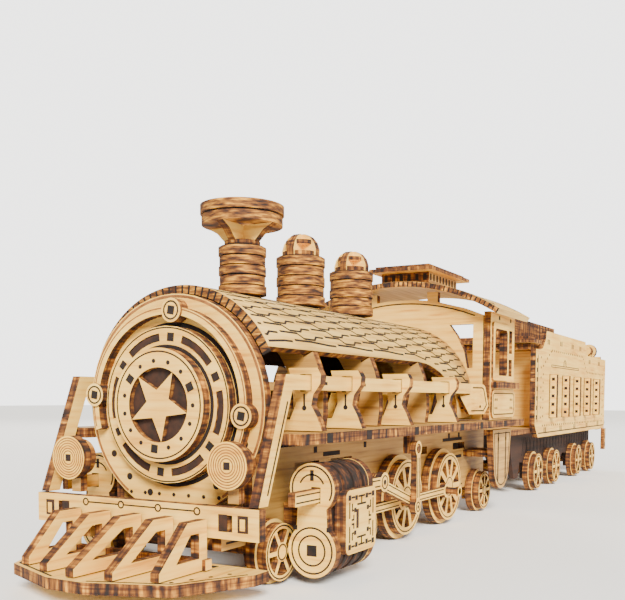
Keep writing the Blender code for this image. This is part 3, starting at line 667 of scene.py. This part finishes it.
WRAP_OUT, WRAP_IN = 27.8, 25.8
BARREL_HALF = 62.0                       # degrees from the top to the sheet's edge, along the barrel
FIREBOX_X, FIREBOX_CURVE = -84.0, 26.0   # where the sheet starts to widen, and how long the curve is
FIREBOX_MORE = 38.0                      # degrees that the edge comes further down there
SLIT_ROW, SLIT_PERIOD, SLIT_STAGGER = 2.2, 21.0, 4.6
SLIT = ((0.0, 0.0), (7.5, 0.0), (9.6, 1.5), (14.5, 1.5), (16.0, 0.5), (19.6, 0.5))
CRADLES = ((-137.6, -121.6), (-107.6, -88.6), (-72.4, -54.0))
HATCH = 1.6
TABS_X = (-160.0, -140.3, -110.8, -74.5)
KEYHOLE_Y = 29.6
TAIL_START, TAIL_TURN, TAIL_PLY = (-60.0, 28.3), math.radians(14.4), 1.2
on_boiler = functools.partial(on_bend, WRAP_OUT, BOILER_Z)


def half_angle(x):
    """Degrees from the top to the sheet's edge: it curves down to the firebox as a quarter circle."""
    t = min(max((x - FIREBOX_X) / FIREBOX_CURVE, 0.0), 1.0)
    return BARREL_HALF + FIREBOX_MORE * (1.0 - math.sqrt(1.0 - t * t))


def shell(bm, start, end, top, under, edge):
    """The bent sheet: a grid outside, one inside, and strips along the four edges."""
    stations = [start, -150.0, -128.0, -106.0, FIREBOX_X]
    stations += [FIREBOX_X + FIREBOX_CURVE * math.sin(math.radians(a)) for a in range(10, 91, 8)] + [end]
    last, across = len(stations) - 1, 40
    grids = []
    for radius in (WRAP_IN, WRAP_OUT):
        grid = []
        for x in stations:
            reach = math.radians(half_angle(x)) * WRAP_OUT
            rounds = [reach * (1 - 2 * j / across) for j in range(across + 1)]
            grid.append([bm.verts.new(on_boiler(x, s, radius)) for s in rounds])
        grids.append(grid)
    for grid, mat in zip(grids, (under, top)):
        for i in range(last):
            for j in range(across):
                corners = (grid[i][j], grid[i][j + 1], grid[i + 1][j + 1], grid[i + 1][j])
                add_face(bm, corners, mat, True)
    a, b = grids
    for i in (0, last):
        for j in range(across):
            add_face(bm, (a[i][j], a[i][j + 1], b[i][j + 1], b[i][j]), edge)
    for j in (0, across):
        for i in range(last):
            add_face(bm, (a[i][j], a[i + 1][j], b[i + 1][j], b[i][j]), edge)


def between(path, start, end):
    """The stretch of a path of rising x between two stations, cut off where it crosses them."""
    kept = []
    for (x0, s0), (x1, s1) in zip(path, path[1:]):
        if x1 > start and x0 < end:
            cut = [(x, s0 + (s1 - s0) * (x - x0) / (x1 - x0)) for x in (max(x0, start), min(x1, end))]
            kept += cut[1:] if kept else cut
    return kept


def slits(bm, start, end):
    """Staggered rows of hinge slits, mirrored about the top and clear of the sheet's edges."""
    for r in range(-21, 22):
        s = (r + 0.5) * SLIT_ROW
        flip = 1 if s > 0 else -1
        shift = (abs(2 * r + 1) // 2 * SLIT_STAGGER) % SLIT_PERIOD
        for k in range(-2, 8):
            x0 = start + k * SLIT_PERIOD + shift
            path = between([(x0 + u, s + flip * v) for u, v in SLIT], start + 1.2, end - 1.2)
            path = [(x, t) for x, t in path if abs(t) < math.radians(half_angle(x)) * WRAP_OUT - 1.3]
            if len(path) > 1:
                line(bm, on_boiler, WRAP_OUT - 0.05, WRAP_OUT + 0.05, path, 0.56)


def cradle(side, word):
    """Hatched boards under the boiler's sheet, one in each bay."""
    bm = bmesh.new()
    for x0, x1 in CRADLES:
        board = [(x0, 37.4), (x1 - 3.0, 37.4), (x1, 43.6), (x0 + 4.0, 43.6)]
        plate(bm, "Y", *outward(side, 21.2, 23.6), board, (), "LX")
        marks = Marks(bm, "Y", side * 23.6, side)
        for k in range(int((x1 - x0 - 6.0) / HATCH)):
            x = x0 + HATCH + k * HATCH
            marks.line([(x, 38.1), (x + 2 * HATCH, 42.9)], 0.3)
    piece(f"boiler_cradle_{word}", bm)


def handrail(side, word):
    """Tab ends along the rail, a line on its slant, and a keyhole on each post."""
    bm, marks = engraving("Y", side * outermost(f"handrail_{word}"), side)
    for x in TABS_X:
        marks.line([(x + 2.2, 45.6), (x + 6.5, 45.6)], 0.5)
    marks.line([(-178.6, 22.0), (-170.8, 41.5)], 0.3)
    for post in POSTS:
        keyhole = Marks(bm, "X", span(post)[0].x, -1)
        keyhole.line([(side * KEYHOLE_Y, 43.2), (side * KEYHOLE_Y, 40.4)], 0.3)
        keyhole.dot((side * KEYHOLE_Y, 40.0), 0.6)
    piece(f"handrail_engraving_{word}", bm)


def on_tail(side, u, v, w):
    """On the sheet's tail, which leaves the boiler's side and turns out to the cab's corner."""
    along, out = math.cos(TAIL_TURN), math.sin(TAIL_TURN)
    return (TAIL_START[0] + u * along - w * out, side * (TAIL_START[1] + u * out + w * along), v)


def sheet_tail(side, word):
    """The flared plate that ends the sheet at the cab, with a line inside its edge."""
    surface = functools.partial(on_tail, side)
    outline = [(0.0, 43.0), (5.5, 37.0), (14.6, 37.0), (17.2, 39.8)] + arc((13.2, 45.0), 2.2, 10, 90, 6)
    outline += [(6.2, 47.2), (5.8, 43.6)]
    inside = [(6.6, 38.2), (14.0, 38.2), (15.9, 40.2)] + arc((12.9, 44.6), 1.4, 10, 90, 5) + [(7.4, 46.0)]
    bm = bmesh.new()
    plate(bm, surface, 0.0, TAIL_PLY, outline, (), "Y")
    marks = Marks(bm, surface, TAIL_PLY, 1)
    marks.line(inside, 0.3)
    marks.dot((12.0, 39.6), 0.5)
    piece(f"boiler_sheet_tail_{word}", bm)


low, high = span("boiler_wrap")
bm = bmesh.new()
# The sheet's inside has painted shade.
shell(bm, low.x, high.x, "bent", "inner", "burnt")
slits(bm, low.x, high.x)
piece("boiler_sheet", bm, replaces=("boiler_wrap",))
for side, word in SIDES:
    cradle(side, word)
    handrail(side, word)
    sheet_tail(side, word)


# -------------------- chimney and domes

UNEVEN = (0.0, 0.35, 0.1, 0.3, 0.05)     # how much smaller than the stack its discs are, in turn
SEAM = 0.34                              # height of the dark seam over each disc
CROSS_PLY = 2.2
STACK_TOP = 82.6                         # where a dome's discs end


def discs(bm, x, low, high, radius, count):
    """A stack of discs that are not quite equal, with a dark seam over each."""
    pitch = (high - low) / count
    for i in range(count):
        size = radius - UNEVEN[i % len(UNEVEN)]
        z = low + i * pitch
        plate(bm, "Z", z, z + pitch - SEAM, circle((x, 0.0), size, 48), (), "stack")
        plate(bm, "Z", z + pitch - SEAM - 0.02, z + pitch, circle((x, 0.0), size - 0.6, 36), (), "dark")


def crossed(bm, x, profile):
    """Two upright plates through each other, each cut to the same (radius, z) profile."""
    half = CROSS_PLY / 2
    outline = [(r, z) for r, z in profile] + [(-r, z) for r, z in reversed(profile)]
    plate(bm, "X", x - half, x + half, outline)
    plate(bm, "Y", -half, half, [(x + u, v) for u, v in outline], (), "Y")


def chimney():
    """A barrel of discs, a cross of two plates, and a cap of two rings round a dark seam."""
    low, high = span("chimney_barrel")
    x = (low.x + high.x) / 2
    middle = (x, 0.0)
    bm = bmesh.new()
    discs(bm, x, low.z, high.z, 6.2, 5)
    piece("chimney_discs", bm, "locomotive", ("chimney_barrel",))

    low, high = span("chimney_cap")
    top = high.z - LID
    bm = bmesh.new()
    crossed(bm, x, [(3.6, low.z), (5.2, 82.8), (7.2, 84.8), (9.9, 86.2)])
    plate(bm, "Z", low.z, low.z + 1.0, circle(middle, 4.6, 28), (), "Z")
    plate(bm, "Z", 88.4, 89.0, circle(middle, 10.0, 48), [circle(middle, 5.2, 28)], "dark")
    for z0, z1, radius in ((86.2, 88.5, 10.4), (88.9, top, 10.75)):
        plate(bm, "Z", z0, z1, circle(middle, radius, 56), [circle(middle, 4.9, 28)], "stack")
    marks = Marks(bm, "Z", top, 1)
    marks.ring(middle, 9.4, FINE, 48)
    for angle in range(0, 360, 45):
        marks.square(polar(middle, 7.2, angle), 0.55, angle)
    piece("chimney_flare", bm, "locomotive", ("chimney_cap",))


def dome(name):
    """A stack of discs, with a cross of two plates and two smaller discs on it."""
    low, high = span(name)
    x = (low.x + high.x) / 2
    bm = bmesh.new()
    discs(bm, x, low.z, STACK_TOP, 7.1, 5)
    crossed(bm, x, [(5.6, STACK_TOP), (5.7, 84.6), (5.0, 86.6), (3.6, 88.2), (2.0, high.z)])
    plate(bm, "Z", STACK_TOP, 84.0, circle((x, 0.0), 5.2, 28), (), "Z")
    plate(bm, "Z", 86.0, 87.2, circle((x, 0.0), 4.3, 28), (), "Z")
    piece(f"{name}_discs", bm, "locomotive", (name,))


chimney()
dome("dome_front")
dome("dome_rear")


# -------------------- cylinders

CYLINDER_Y, LAYERS = 32.3, 8
UPPER_Z, UPPER_R = 22.0, 5.8
LOWER_Z, LOWER_R = 8.0, 6.2
COVER_Y = 39.5
COVER_MIDDLE = (-151.9, 14.3)
# One quarter of the cover's pattern, from its middle: squares with half widths, lines with widths.
COVER_SQUARES = (((5.9, 5.6), 0.6), ((2.6, 5.4), 0.55), ((3.2, 2.6), 0.5))
COVER_LINES = ((((5.0, 5.6), (3.4, 5.6)), 0.3), (((5.9, 4.6), (5.9, 0.9)), 0.3),
               (((4.6, 4.2), (4.6, 2.6), (3.9, 2.6)), 0.28), (((4.9, 0.5), (3.9, 0.5), (3.9, 1.6)), 0.28),
               (((1.6, 5.6), (0.0, 5.6), (0.0, 3.8), (2.2, 3.8)), 0.28))


def cylinder_front(marks, y):
    """Two arcs and a slot on the upper circle, two rings and a square on the lower one."""
    marks.line(arc((y, UPPER_Z), 5.1, -28, 208, 32), 0.25)
    marks.line(arc((y, UPPER_Z), 3.2, 22, 158, 20), 0.25)
    marks.shape(rectangle(y - 0.45, y + 0.45, 23.8, 26.2))
    marks.ring((y, LOWER_Z), 5.2, 0.25)
    marks.ring((y, LOWER_Z), 3.4, 0.25, 28)
    marks.square((y, LOWER_Z), 1.25)
    for dy in (-4.3, 4.3):
        marks.square((y + dy, 13.0), 0.5)


def cover_quarter(marks, sx, sz):
    """One quarter of the pattern on the cover, mirrored by the two signs."""
    def at(point):
        return (COVER_MIDDLE[0] + sx * point[0], COVER_MIDDLE[1] + sz * point[1])

    for point, half in COVER_SQUARES:
        marks.square(at(point), half)
    for path, width in COVER_LINES:
        marks.line([at(point) for point in path], width)


def cylinder(side, word):
    """Charred layers between two pale ones, a saddle, and a patterned cover outside."""
    low, high = span(f"cylinder_{word}")
    y = side * CYLINDER_Y
    bore = rectangle(*outward(side, 32.1, 34.5), 18.8, 22.4)
    pitch = (high.x - low.x) / LAYERS
    bm = bmesh.new()
    for i in range(LAYERS):
        at_end = i in (0, LAYERS - 1)
        shrink = 0.0 if at_end else (0.1, 0.45)[i % 2]
        outline = arc((y, UPPER_Z), UPPER_R - shrink, -50, 230, 28)
        outline += arc((y, LOWER_Z), LOWER_R - shrink, 130, 410, 28)
        x = low.x + i * pitch
        plate(bm, "X", x, x + pitch - 0.14, outline, [bore], "X" if at_end else "charred")
    # The saddle takes the plywood with painted shade.
    box(bm, (-155.4, -144.4), (side * 20.5, side * 28.0), (10.5, 17.5), "SY")
    cylinder_front(Marks(bm, "X", low.x, -1), y)
    cover = rounded(-159.5, -144.4, 7.0, 21.6, 1.6)
    plate(bm, "Y", *outward(side, 36.6, COVER_Y), cover, [rectangle(-154.5, -153.3, 12.6, 17.0)], "Y")
    marks = Marks(bm, "Y", side * COVER_Y, side)
    # Painted shade fills the cover's opening.
    marks.shape(rectangle(-154.4, -153.4, 12.7, 16.9), "inner")
    for sx in (-1, 1):
        for sz in (-1, 1):
            cover_quarter(marks, sx, sz)
    piece(f"cylinder_layers_{word}", bm, "locomotive", (f"cylinder_{word}",))


for side, word in SIDES:
    cylinder(side, word)


# -------------------- grooves along the rods

FRONT_CRANK_PIN, REAR_CRANK_PIN = (-102.1, 12.2), (-66.9, 12.2)
COUPLING_TIP = (-137.8, 12.2)            # where the coupling rod ends in front
PISTON_TIP, CROSSHEAD = (-172.4, 20.6), (-128.2, 20.6)
LEVER_TOP, LEVER_FOOT = (-106.3, 28.2), (-106.3, 11.7)


def groove(marks, a, b, offset, ends):
    """Two lines beside the way from a to b, which stop short of both by the ends."""
    along = (Vector(b) - Vector(a)).normalized()
    across = Vector((-along.y, along.x)) * offset
    for sign in (-1, 1):
        beside = across * sign
        marks.line([Vector(a) + along * ends[0] + beside, Vector(b) - along * ends[1] + beside], 0.2)


def rod(name, side, word):
    """An empty bmesh, and marks on the outer face of one rod or lever."""
    return engraving("Y", side * outermost(f"{name}_{word}"), side)


for side, word in SIDES:
    bm, marks = rod("main_rod", side, word)
    groove(marks, CROSSHEAD, FRONT_CRANK_PIN, 0.75, (3.0, 3.0))
    marks.ring(CROSSHEAD, 1.5, FINE, 20)
    piece(f"main_rod_grooves_{word}", bm, f"main_rod_{word}")

    bm, marks = rod("coupling_rod", side, word)
    groove(marks, COUPLING_TIP, FRONT_CRANK_PIN, 0.65, (0.4, 3.0))
    groove(marks, FRONT_CRANK_PIN, REAR_CRANK_PIN, 0.65, (3.0, 3.0))
    piece(f"coupling_rod_grooves_{word}", bm, f"coupling_rod_{word}")

    bm, marks = rod("lever", side, word)
    groove(marks, LEVER_FOOT, LEVER_TOP, 0.6, (2.6, 2.6))
    marks.ring(LEVER_FOOT, 1.3, FINE, 20)
    marks.dot(LEVER_FOOT, 0.5, 12)
    piece(f"lever_grooves_{word}", bm, f"lever_{word}")

    bm, marks = rod("crosshead", side, word)
    groove(marks, PISTON_TIP, CROSSHEAD, 0.75, (0.3, 2.8))
    marks.ring(CROSSHEAD, 1.7, FINE, 20)
    marks.dot(CROSSHEAD, 0.7, 12)
    piece(f"crosshead_grooves_{word}", bm, f"crosshead_{word}")


# -------------------- cab

ROOF_R, ROOF_TOP, ROOF_HALF_WIDTH, ROOF_TEETH = 72.9, 84.0, 38.8, 46
ROOF_AXIS = (0.0, ROOF_TOP - ROOF_R)
ROOF_HALF = math.degrees(math.asin(ROOF_HALF_WIDTH / ROOF_R))
on_roof = functools.partial(on_bend, ROOF_R, ROOF_AXIS[1])
LOUVRE = 3.1
CAB_Y, TRIM = 33.8, 0.7                  # the cab side's face, and how thick its trim is
STEP_Y = 32.4
ARCH_R, ARCH_TOP = 76.6, 78.0            # the curved top of the cab's front


def cab_roof():
    """The bent sheet, teeth along its front edge, and a line and rivets near both edges."""
    low, high = span("cab_roof")
    start, end = 90 - ROOF_HALF, 90 + ROOF_HALF
    step = ROOF_HALF / ROOF_TEETH
    bm = bmesh.new()
    sheet = band(ROOF_R - 0.1, ROOF_R - 2.0, start, end, 40, ROOF_AXIS)
    plate(bm, "X", low.x + 0.12, high.x, sheet, (), "bent")
    for k in range(ROOF_TEETH):
        middle = start + (2 * k + 1) * step
        for a, b, mat in ((-1.0, 0.4, "burnt"), (0.4, 1.0, "dark")):
            tooth = band(ROOF_R - 0.15, ROOF_R - 1.95, middle + a * step, middle + b * step, 1, ROOF_AXIS)
            plate(bm, "X", low.x, low.x + 0.2, tooth, (), mat)
    for x in (low.x + 3.0, high.x - 3.0):
        line(bm, on_roof, ROOF_R - 0.12, ROOF_R - 0.02, [(x, s) for s in range(-38, 39, 2)], 0.3)
    for x in (low.x + 6.0, high.x - 6.0):
        for s in range(-36, 37, 4):
            plate(bm, on_roof, ROOF_R - 0.12, ROOF_R - 0.02, circle((x, s), 0.45, 8), (), "dark")
    piece("cab_roof_sheet", bm, replaces=("cab_roof",))


def roof_vent():
    """A louvred box under two boards."""
    low, high = span("roof_vent")
    top = high.z - LID
    bm = bmesh.new()
    # The vent's box takes the plywood with painted shade.
    box(bm, (-40.0, -12.0), (-9.5, 9.5), (low.z, 88.3), "SY")
    box(bm, (low.x, high.x), (-12.3, 12.3), (88.2, 89.5), "Z")
    box(bm, (low.x + 2.0, high.x - 2.0), (-10.6, 10.6), (89.4, top), "Z")
    for axis, face, out, first, count in (("Y", -9.5, -1, -38.5, 9), ("Y", 9.5, 1, -38.5, 9),
                                          ("X", -40.0, -1, -7.8, 6)):
        marks = Marks(bm, axis, face, out)
        for k in range(count):
            marks.line([(first + LOUVRE * k, 85.2), (first + LOUVRE * k, 87.6)], 0.9)
    marks = Marks(bm, "Z", top, 1)
    marks.line(rectangle(low.x + 4.0, high.x - 4.0, -9.0, 9.0), 0.3, True)
    piece("roof_vent_boards", bm, replaces=("roof_vent",))


def cab_trim(side, word):
    """The armrest ledge, the front window's frame, and the panel under the windows."""
    trim_y = outward(side, CAB_Y, CAB_Y + TRIM)
    window = rounded(-39.4, -25.0, 50.6, 67.0, 1.6)
    bm = bmesh.new()
    plate(bm, "Z", 46.0, 48.3, rectangle(-41.6, -15.6, *outward(side, CAB_Y, CAB_Y + 2.6)), (), "Z")
    plate(bm, "Y", *trim_y, rounded(-41.4, -23.4, 48.8, 69.0, 1.2), [window], "Y")
    plate(bm, "Y", *trim_y, rounded(-42.0, -15.2, 35.6, 45.4, 2.2), (), "Y")
    marks = Marks(bm, "Y", side * (CAB_Y + TRIM), side)
    marks.line(rounded(-40.8, -16.4, 36.8, 44.2, 1.4), 0.25, True)
    for x in (-38.6, -36.6, -20.6, -18.6):
        for z in (39.0, 42.0):
            marks.dot((x, z), 0.5)
    marks = Marks(bm, "Y", side * CAB_Y, side)
    marks.square((-33.0, 71.0), 0.7)
    marks.square((-19.5, 71.0), 0.7)
    marks.line([(-23.0, 50.4), (-23.0, 68.0)], 0.3)
    piece(f"cab_trim_{word}", bm)


def cab_step(side, word):
    """Two slots and an arch on the step under the cab."""
    bm, marks = engraving("Y", side * STEP_Y, side)
    for x in (-27.5, -18.5):
        marks.line([(x, 12.0), (x, 30.0)], 0.7)
        marks.dot((x, 27.5), 0.8, 10)
    marks.line(arc((-23.0, 18.0), 7.6, 180, 360, 18) + [(-13.6, 29.6), (-32.4, 29.6)], 0.25, True)
    piece(f"cab_step_engraving_{word}", bm)


def cab_front():
    """A line just under the curved top of the cab's front."""
    bm, marks = engraving("X", span("cab_front")[0].x, -1)
    heights = [(y, ARCH_TOP - ARCH_R + math.sqrt(ARCH_R ** 2 - y * y) - 1.4) for y in range(-28, 29, 4)]
    marks.line(heights, 0.3)
    piece("cab_front_engraving", bm)


cab_roof()
roof_vent()
for side, word in SIDES:
    cab_trim(side, word)
    cab_step(side, word)
cab_front()


# -------------------- deck edge and frame

DECK_Y, FRAME_Y = 35.6, 20.2


def deck_tabs():
    """The dark ends of the tabs in the deck's edge."""
    bm = bmesh.new()
    for side, _ in SIDES:
        marks = Marks(bm, "Y", side * DECK_Y, side)
        for x in (*TABS_X, -56.0, -30.0):
            marks.line([(x - 1.4, 33.4), (x + 1.4, 33.4)], 1.5)
    piece("deck_tab_ends", bm, "locomotive")


def frame_side(side, word):
    """Slots, square holes and lines on a frame plate."""
    bm, marks = engraving("Y", side * FRAME_Y, side)
    for x0, x1 in ((-136.0, -127.0), (-79.0, -74.0), (-52.0, -33.0)):
        for z in (27.8, 21.4):
            marks.line([(x0, z), (x1, z)], 0.8)
    for x in (-140.0, -112.0, -84.0, -46.0, -36.0):
        marks.square((x, 29.2), 0.8)
    marks.line([(-165.0, 30.8), (-10.0, 30.8)], 0.4)
    for x0, x1 in ((-178.0, -170.0), (-156.0, -146.0), (-132.0, -108.0), (-80.0, -73.0), (-46.0, -32.0)):
        marks.line([(x0, 11.0), (x1, 11.0)], 0.35)
    piece(f"frame_engraving_{word}", bm, "locomotive")


deck_tabs()
for side, word in SIDES:
    frame_side(side, word)


# -------------------- tender

PANEL_Y, TRUCK_Y = 27.3, 19.3
FIRST_FIN, FIN_STEP, FINS = 65.8, 24.7, 5
FIN_Y = 30.5
# Rivet rows round the panel, each from one point to another with its pitch.
RIVET_ROWS = (((53.6, 30.2), (190.0, 29.6), 4.0), ((53.5, 34.5), (53.5, 57.3), 4.0),
              ((56.9, 59.2), (67.0, 64.4), 4.0), ((69.0, 65.0), (134.2, 65.0), 4.0),
              ((136.0, 63.8), (144.6, 57.5), 3.6), ((148.0, 57.0), (189.0, 56.8), 4.0),
              ((190.2, 33.3), (190.2, 54.0), 4.0))
SLOT_PAIRS = ((62.0, 68.6), (86.0, 69.0), (110.0, 69.0), (128.0, 69.0), (152.0, 63.0), (178.0, 63.0),
              (58.0, 28.2), (88.0, 28.2), (118.0, 28.2), (148.0, 28.2), (178.0, 28.2))
TRUCK_CROSSES, TRUCK_STEP, TRUCK_WIDTH = 24, 6.1, 3.4


def fin(bm, marks, side, x):
    """Squares on both broad faces, a charred outer edge, and a dark line of painted shade along each foot,
    where the fin meets the panel.
    """
    for at, out in ((x, -1), (x + PLY, 1)):
        Marks(bm, "X", at, out).shape(rectangle(*outward(side, 27.4, 30.4), 33.7, 53.6), "X")
        holes = Marks(bm, "X", at + PROUD * out, out)
        for k in range(5):
            holes.square((side * 28.9, 36.0 + 3.9 * k), 0.7)
    Marks(bm, "Y", side * FIN_Y, side).shape(rectangle(x, x + PLY, 33.6, 53.7), "charred")
    # Painted shade along the fin's feet.
    marks.line([(x - 0.7, 33.4), (x - 0.7, 53.9)], 0.8)
    marks.line([(x + PLY + 0.7, 33.4), (x + PLY + 0.7, 53.9)], 0.8)


def tender_panel(side, word):
    """Rivets, paired slots and lines on the tender's side, and the marks on its fins."""
    bm, marks = engraving("Y", side * PANEL_Y, side)
    for a, b, pitch in RIVET_ROWS:
        marks.row(a, b, pitch)
    marks.line(rectangle(67.9, 125.1, 57.4, 58.3), 0.2, True)
    marks.line(arc((94.4, 58.3), 3.0, 0, 180, 18), 0.3)
    marks.ring((94.4, 59.6), 0.8, 0.2, 14)
    for x, z in SLOT_PAIRS:
        for dx in (-1.3, 1.3):
            marks.shape(rectangle(x + dx - 0.55, x + dx + 0.55, z - 1.1, z + 1.1))
    marks.line([(46.5, 26.9), (196.0, 26.9)], 0.35)
    marks.line([(44.2, 32.0), (44.2, 62.0)], 0.4)
    for k in range(7):
        marks.shape(rectangle(42.4, 43.6, 33.2 + 4.2 * k, 35.2 + 4.2 * k))
    marks.row((49.6, 34.0), (49.6, 61.0), 4.5)
    for i in range(FINS):
        fin(bm, marks, side, FIRST_FIN + FIN_STEP * i)
    piece(f"tender_rivets_{word}", bm, "tender")


def ladder(side, word):
    """A strip with two openings that hangs at the tender's rear."""
    steps = [rectangle(189.5, 191.3, z, z + 2.6) for z in (14.2, 19.2)]
    bm = bmesh.new()
    # The ladder takes the plywood with painted shade.
    plate(bm, "Y", *outward(side, PANEL_Y, 29.4), rectangle(188.4, 192.4, 12.5, 25.0), steps, "SY")
    piece(f"tender_ladder_{word}", bm, "tender")


def truck(side, word):
    """A row of crosses along the truck frame."""
    bm, marks = engraving("Y", side * TRUCK_Y, side)
    for k in range(TRUCK_CROSSES):
        x = 49.0 + TRUCK_STEP * k
        marks.line([(x, 16.2), (x + TRUCK_WIDTH, 24.4)], 0.45)
        marks.line([(x + TRUCK_WIDTH, 16.2), (x, 24.4)], 0.45)
    piece(f"truck_hatching_{word}", bm, "tender")


def canopy():
    """Two boards over the tender's front."""
    bm = bmesh.new()
    box(bm, (38.4, 52.0), (-26.8, 26.8), (67.0, 68.6), "Z")
    box(bm, (40.2, 50.2), (-24.0, 24.0), (68.5, 70.0), "Z")
    Marks(bm, "Z", 70.0, 1).line(rectangle(41.4, 49.0, -22.4, 22.4), 0.25, True)
    piece("tender_canopy", bm, "tender")


def coal_bin():
    """Rivets along the coal bin's sides, and a bordered panel on the top behind it."""
    bm = bmesh.new()
    for side, _ in SIDES:
        marks = Marks(bm, "Y", side * 10.0, side)
        for z in (79.2, 69.2):
            marks.row((68.5, z), (138.5, z), 3.5, 0.4)
    marks = Marks(bm, "Z", 66.7, 1)
    marks.line(rectangle(146.0, 192.0, -20.0, 20.0), 0.3, True)
    for y in (-16.5, 16.5):
        marks.row((150.0, y), (188.0, y), 4.2)
    piece("coal_bin_engraving", bm, "tender")


def tender_rear():
    """A border and rivets on the rear wall, and rings on its lamps and knobs."""
    bm, marks = engraving("X", 197.6, 1)
    marks.line(rectangle(-21.5, 21.5, 35.0, 62.0), 0.3, True)
    for y in (-21.5, 21.5):
        marks.row((y * 1.08, 34.0), (y * 1.08, 63.0), 4.0)
    piece("tender_rear_engraving", bm, "tender")

    bm = bmesh.new()
    for side, _ in SIDES:
        marks = Marks(bm, "X", 202.0, 1)
        for radius in (3.4, 2.4, 1.4):
            marks.ring((side * 17.0, 71.5), radius, FINE, 24)
        marks = Marks(bm, "X", 204.4, 1)
        marks.ring((side * 22.0, 28.0), 3.2, FINE, 24)
        marks.square((side * 22.0, 28.0), 0.8)
    piece("tender_lamp_engraving", bm, "tender")


for side, word in SIDES:
    tender_panel(side, word)
    ladder(side, word)
    truck(side, word)
canopy()
coal_bin()
tender_rear()


# -------------------- floor, light, camera

FLOOR_REACH, FLOOR_Z = 3.0, -0.0002      # metres, as is all that follows
ON_OBJECT, BEHIND = 0.6, 3.4             # the world's strength as light, and as the wall that is seen
CAMERA_PLACE = (-0.3205, -0.125, 0.0423)
AZIMUTH, ELEVATION, ROLL = math.radians(-61.6), math.radians(3.7), math.radians(0.3)


def floor():
    bm = bmesh.new()
    for x, y in ((-1, -1), (1, -1), (1, 1), (-1, 1)):
        bm.verts.new((x * FLOOR_REACH, y * FLOOR_REACH, FLOOR_Z))
    bm.faces.new(bm.verts[:])
    mesh = bpy.data.meshes.new("floor")
    bm.to_mesh(mesh)
    bm.free()
    material, _, shader = new_material("floor_paper")
    shader.inputs["Base Color"].default_value = (0.93, 0.93, 0.92, 1.0)
    shader.inputs["Roughness"].default_value = 0.9
    mesh.materials.append(material)
    obj = bpy.data.objects.new("floor", mesh)
    bpy.context.scene.collection.objects.link(obj)


def studio_world():
    """Soft light from all round, which the camera sees as a brighter wall."""
    world = bpy.data.worlds.new("studio")
    world.use_nodes = True
    sky = world.node_tree
    background = sky.nodes["Background"]
    background.inputs["Color"].default_value = (1.0, 0.99, 0.97, 1.0)
    strength = node(sky, "ShaderNodeMapRange")
    strength.inputs["To Min"].default_value = ON_OBJECT
    strength.inputs["To Max"].default_value = BEHIND
    sky.links.new(node(sky, "ShaderNodeLightPath").outputs["Is Camera Ray"], strength.inputs["Value"])
    sky.links.new(strength.outputs[0], background.inputs["Strength"])
    bpy.context.scene.world = world


def studio_light(name, kind, place, target, size, power, colour):
    """A disk lamp of some size in metres, or a broad key light of some angle in radians."""
    data = bpy.data.lights.new(name, kind)
    if kind == "AREA":
        data.shape = "DISK"
        data.size = size
    else:
        data.angle = size
    data.energy = power
    data.color = colour
    light = bpy.data.objects.new(name, data)
    light.location = place
    light.rotation_euler = (Vector(target) - Vector(place)).to_track_quat("-Z", "Y").to_euler()
    bpy.context.scene.collection.objects.link(light)


def photo_camera():
    """The camera that was fitted to the photo's larger view."""
    level = math.cos(ELEVATION)
    back = Vector((math.sin(AZIMUTH) * level, -math.cos(AZIMUTH) * level, math.sin(ELEVATION)))
    right = Vector((math.cos(AZIMUTH), math.sin(AZIMUTH), 0.0))
    up = back.cross(right)
    rolled_right = right * math.cos(ROLL) + up * math.sin(ROLL)
    rolled_up = up * math.cos(ROLL) - right * math.sin(ROLL)
    turn = Matrix((rolled_right, rolled_up, back)).transposed().to_4x4()
    data = bpy.data.cameras.new("camera")
    data.sensor_width = 36.0
    data.lens = 47.47
    data.shift_x = -0.0445
    data.shift_y = 0.242
    data.clip_start = 0.01
    camera = bpy.data.objects.new("camera", data)
    camera.matrix_world = Matrix.Translation(CAMERA_PLACE) @ turn
    bpy.context.scene.collection.objects.link(camera)
    bpy.context.scene.camera = camera


floor()
studio_world()
studio_light("key", "SUN", (-0.80, -0.62, 0.62), (0.0, 0.0, 0.0), 0.35, 9.0, (1.0, 0.95, 0.86))
studio_light("fill", "AREA", (-0.3, -1.0, 0.35), (0.0, 0.0, 0.04), 0.6, 3.0, (1.0, 0.98, 0.94))
studio_light("rim", "AREA", (0.7, 0.6, 0.7), (0.1, 0.0, 0.05), 0.6, 6.0, (1.0, 0.96, 0.90))
photo_camera()
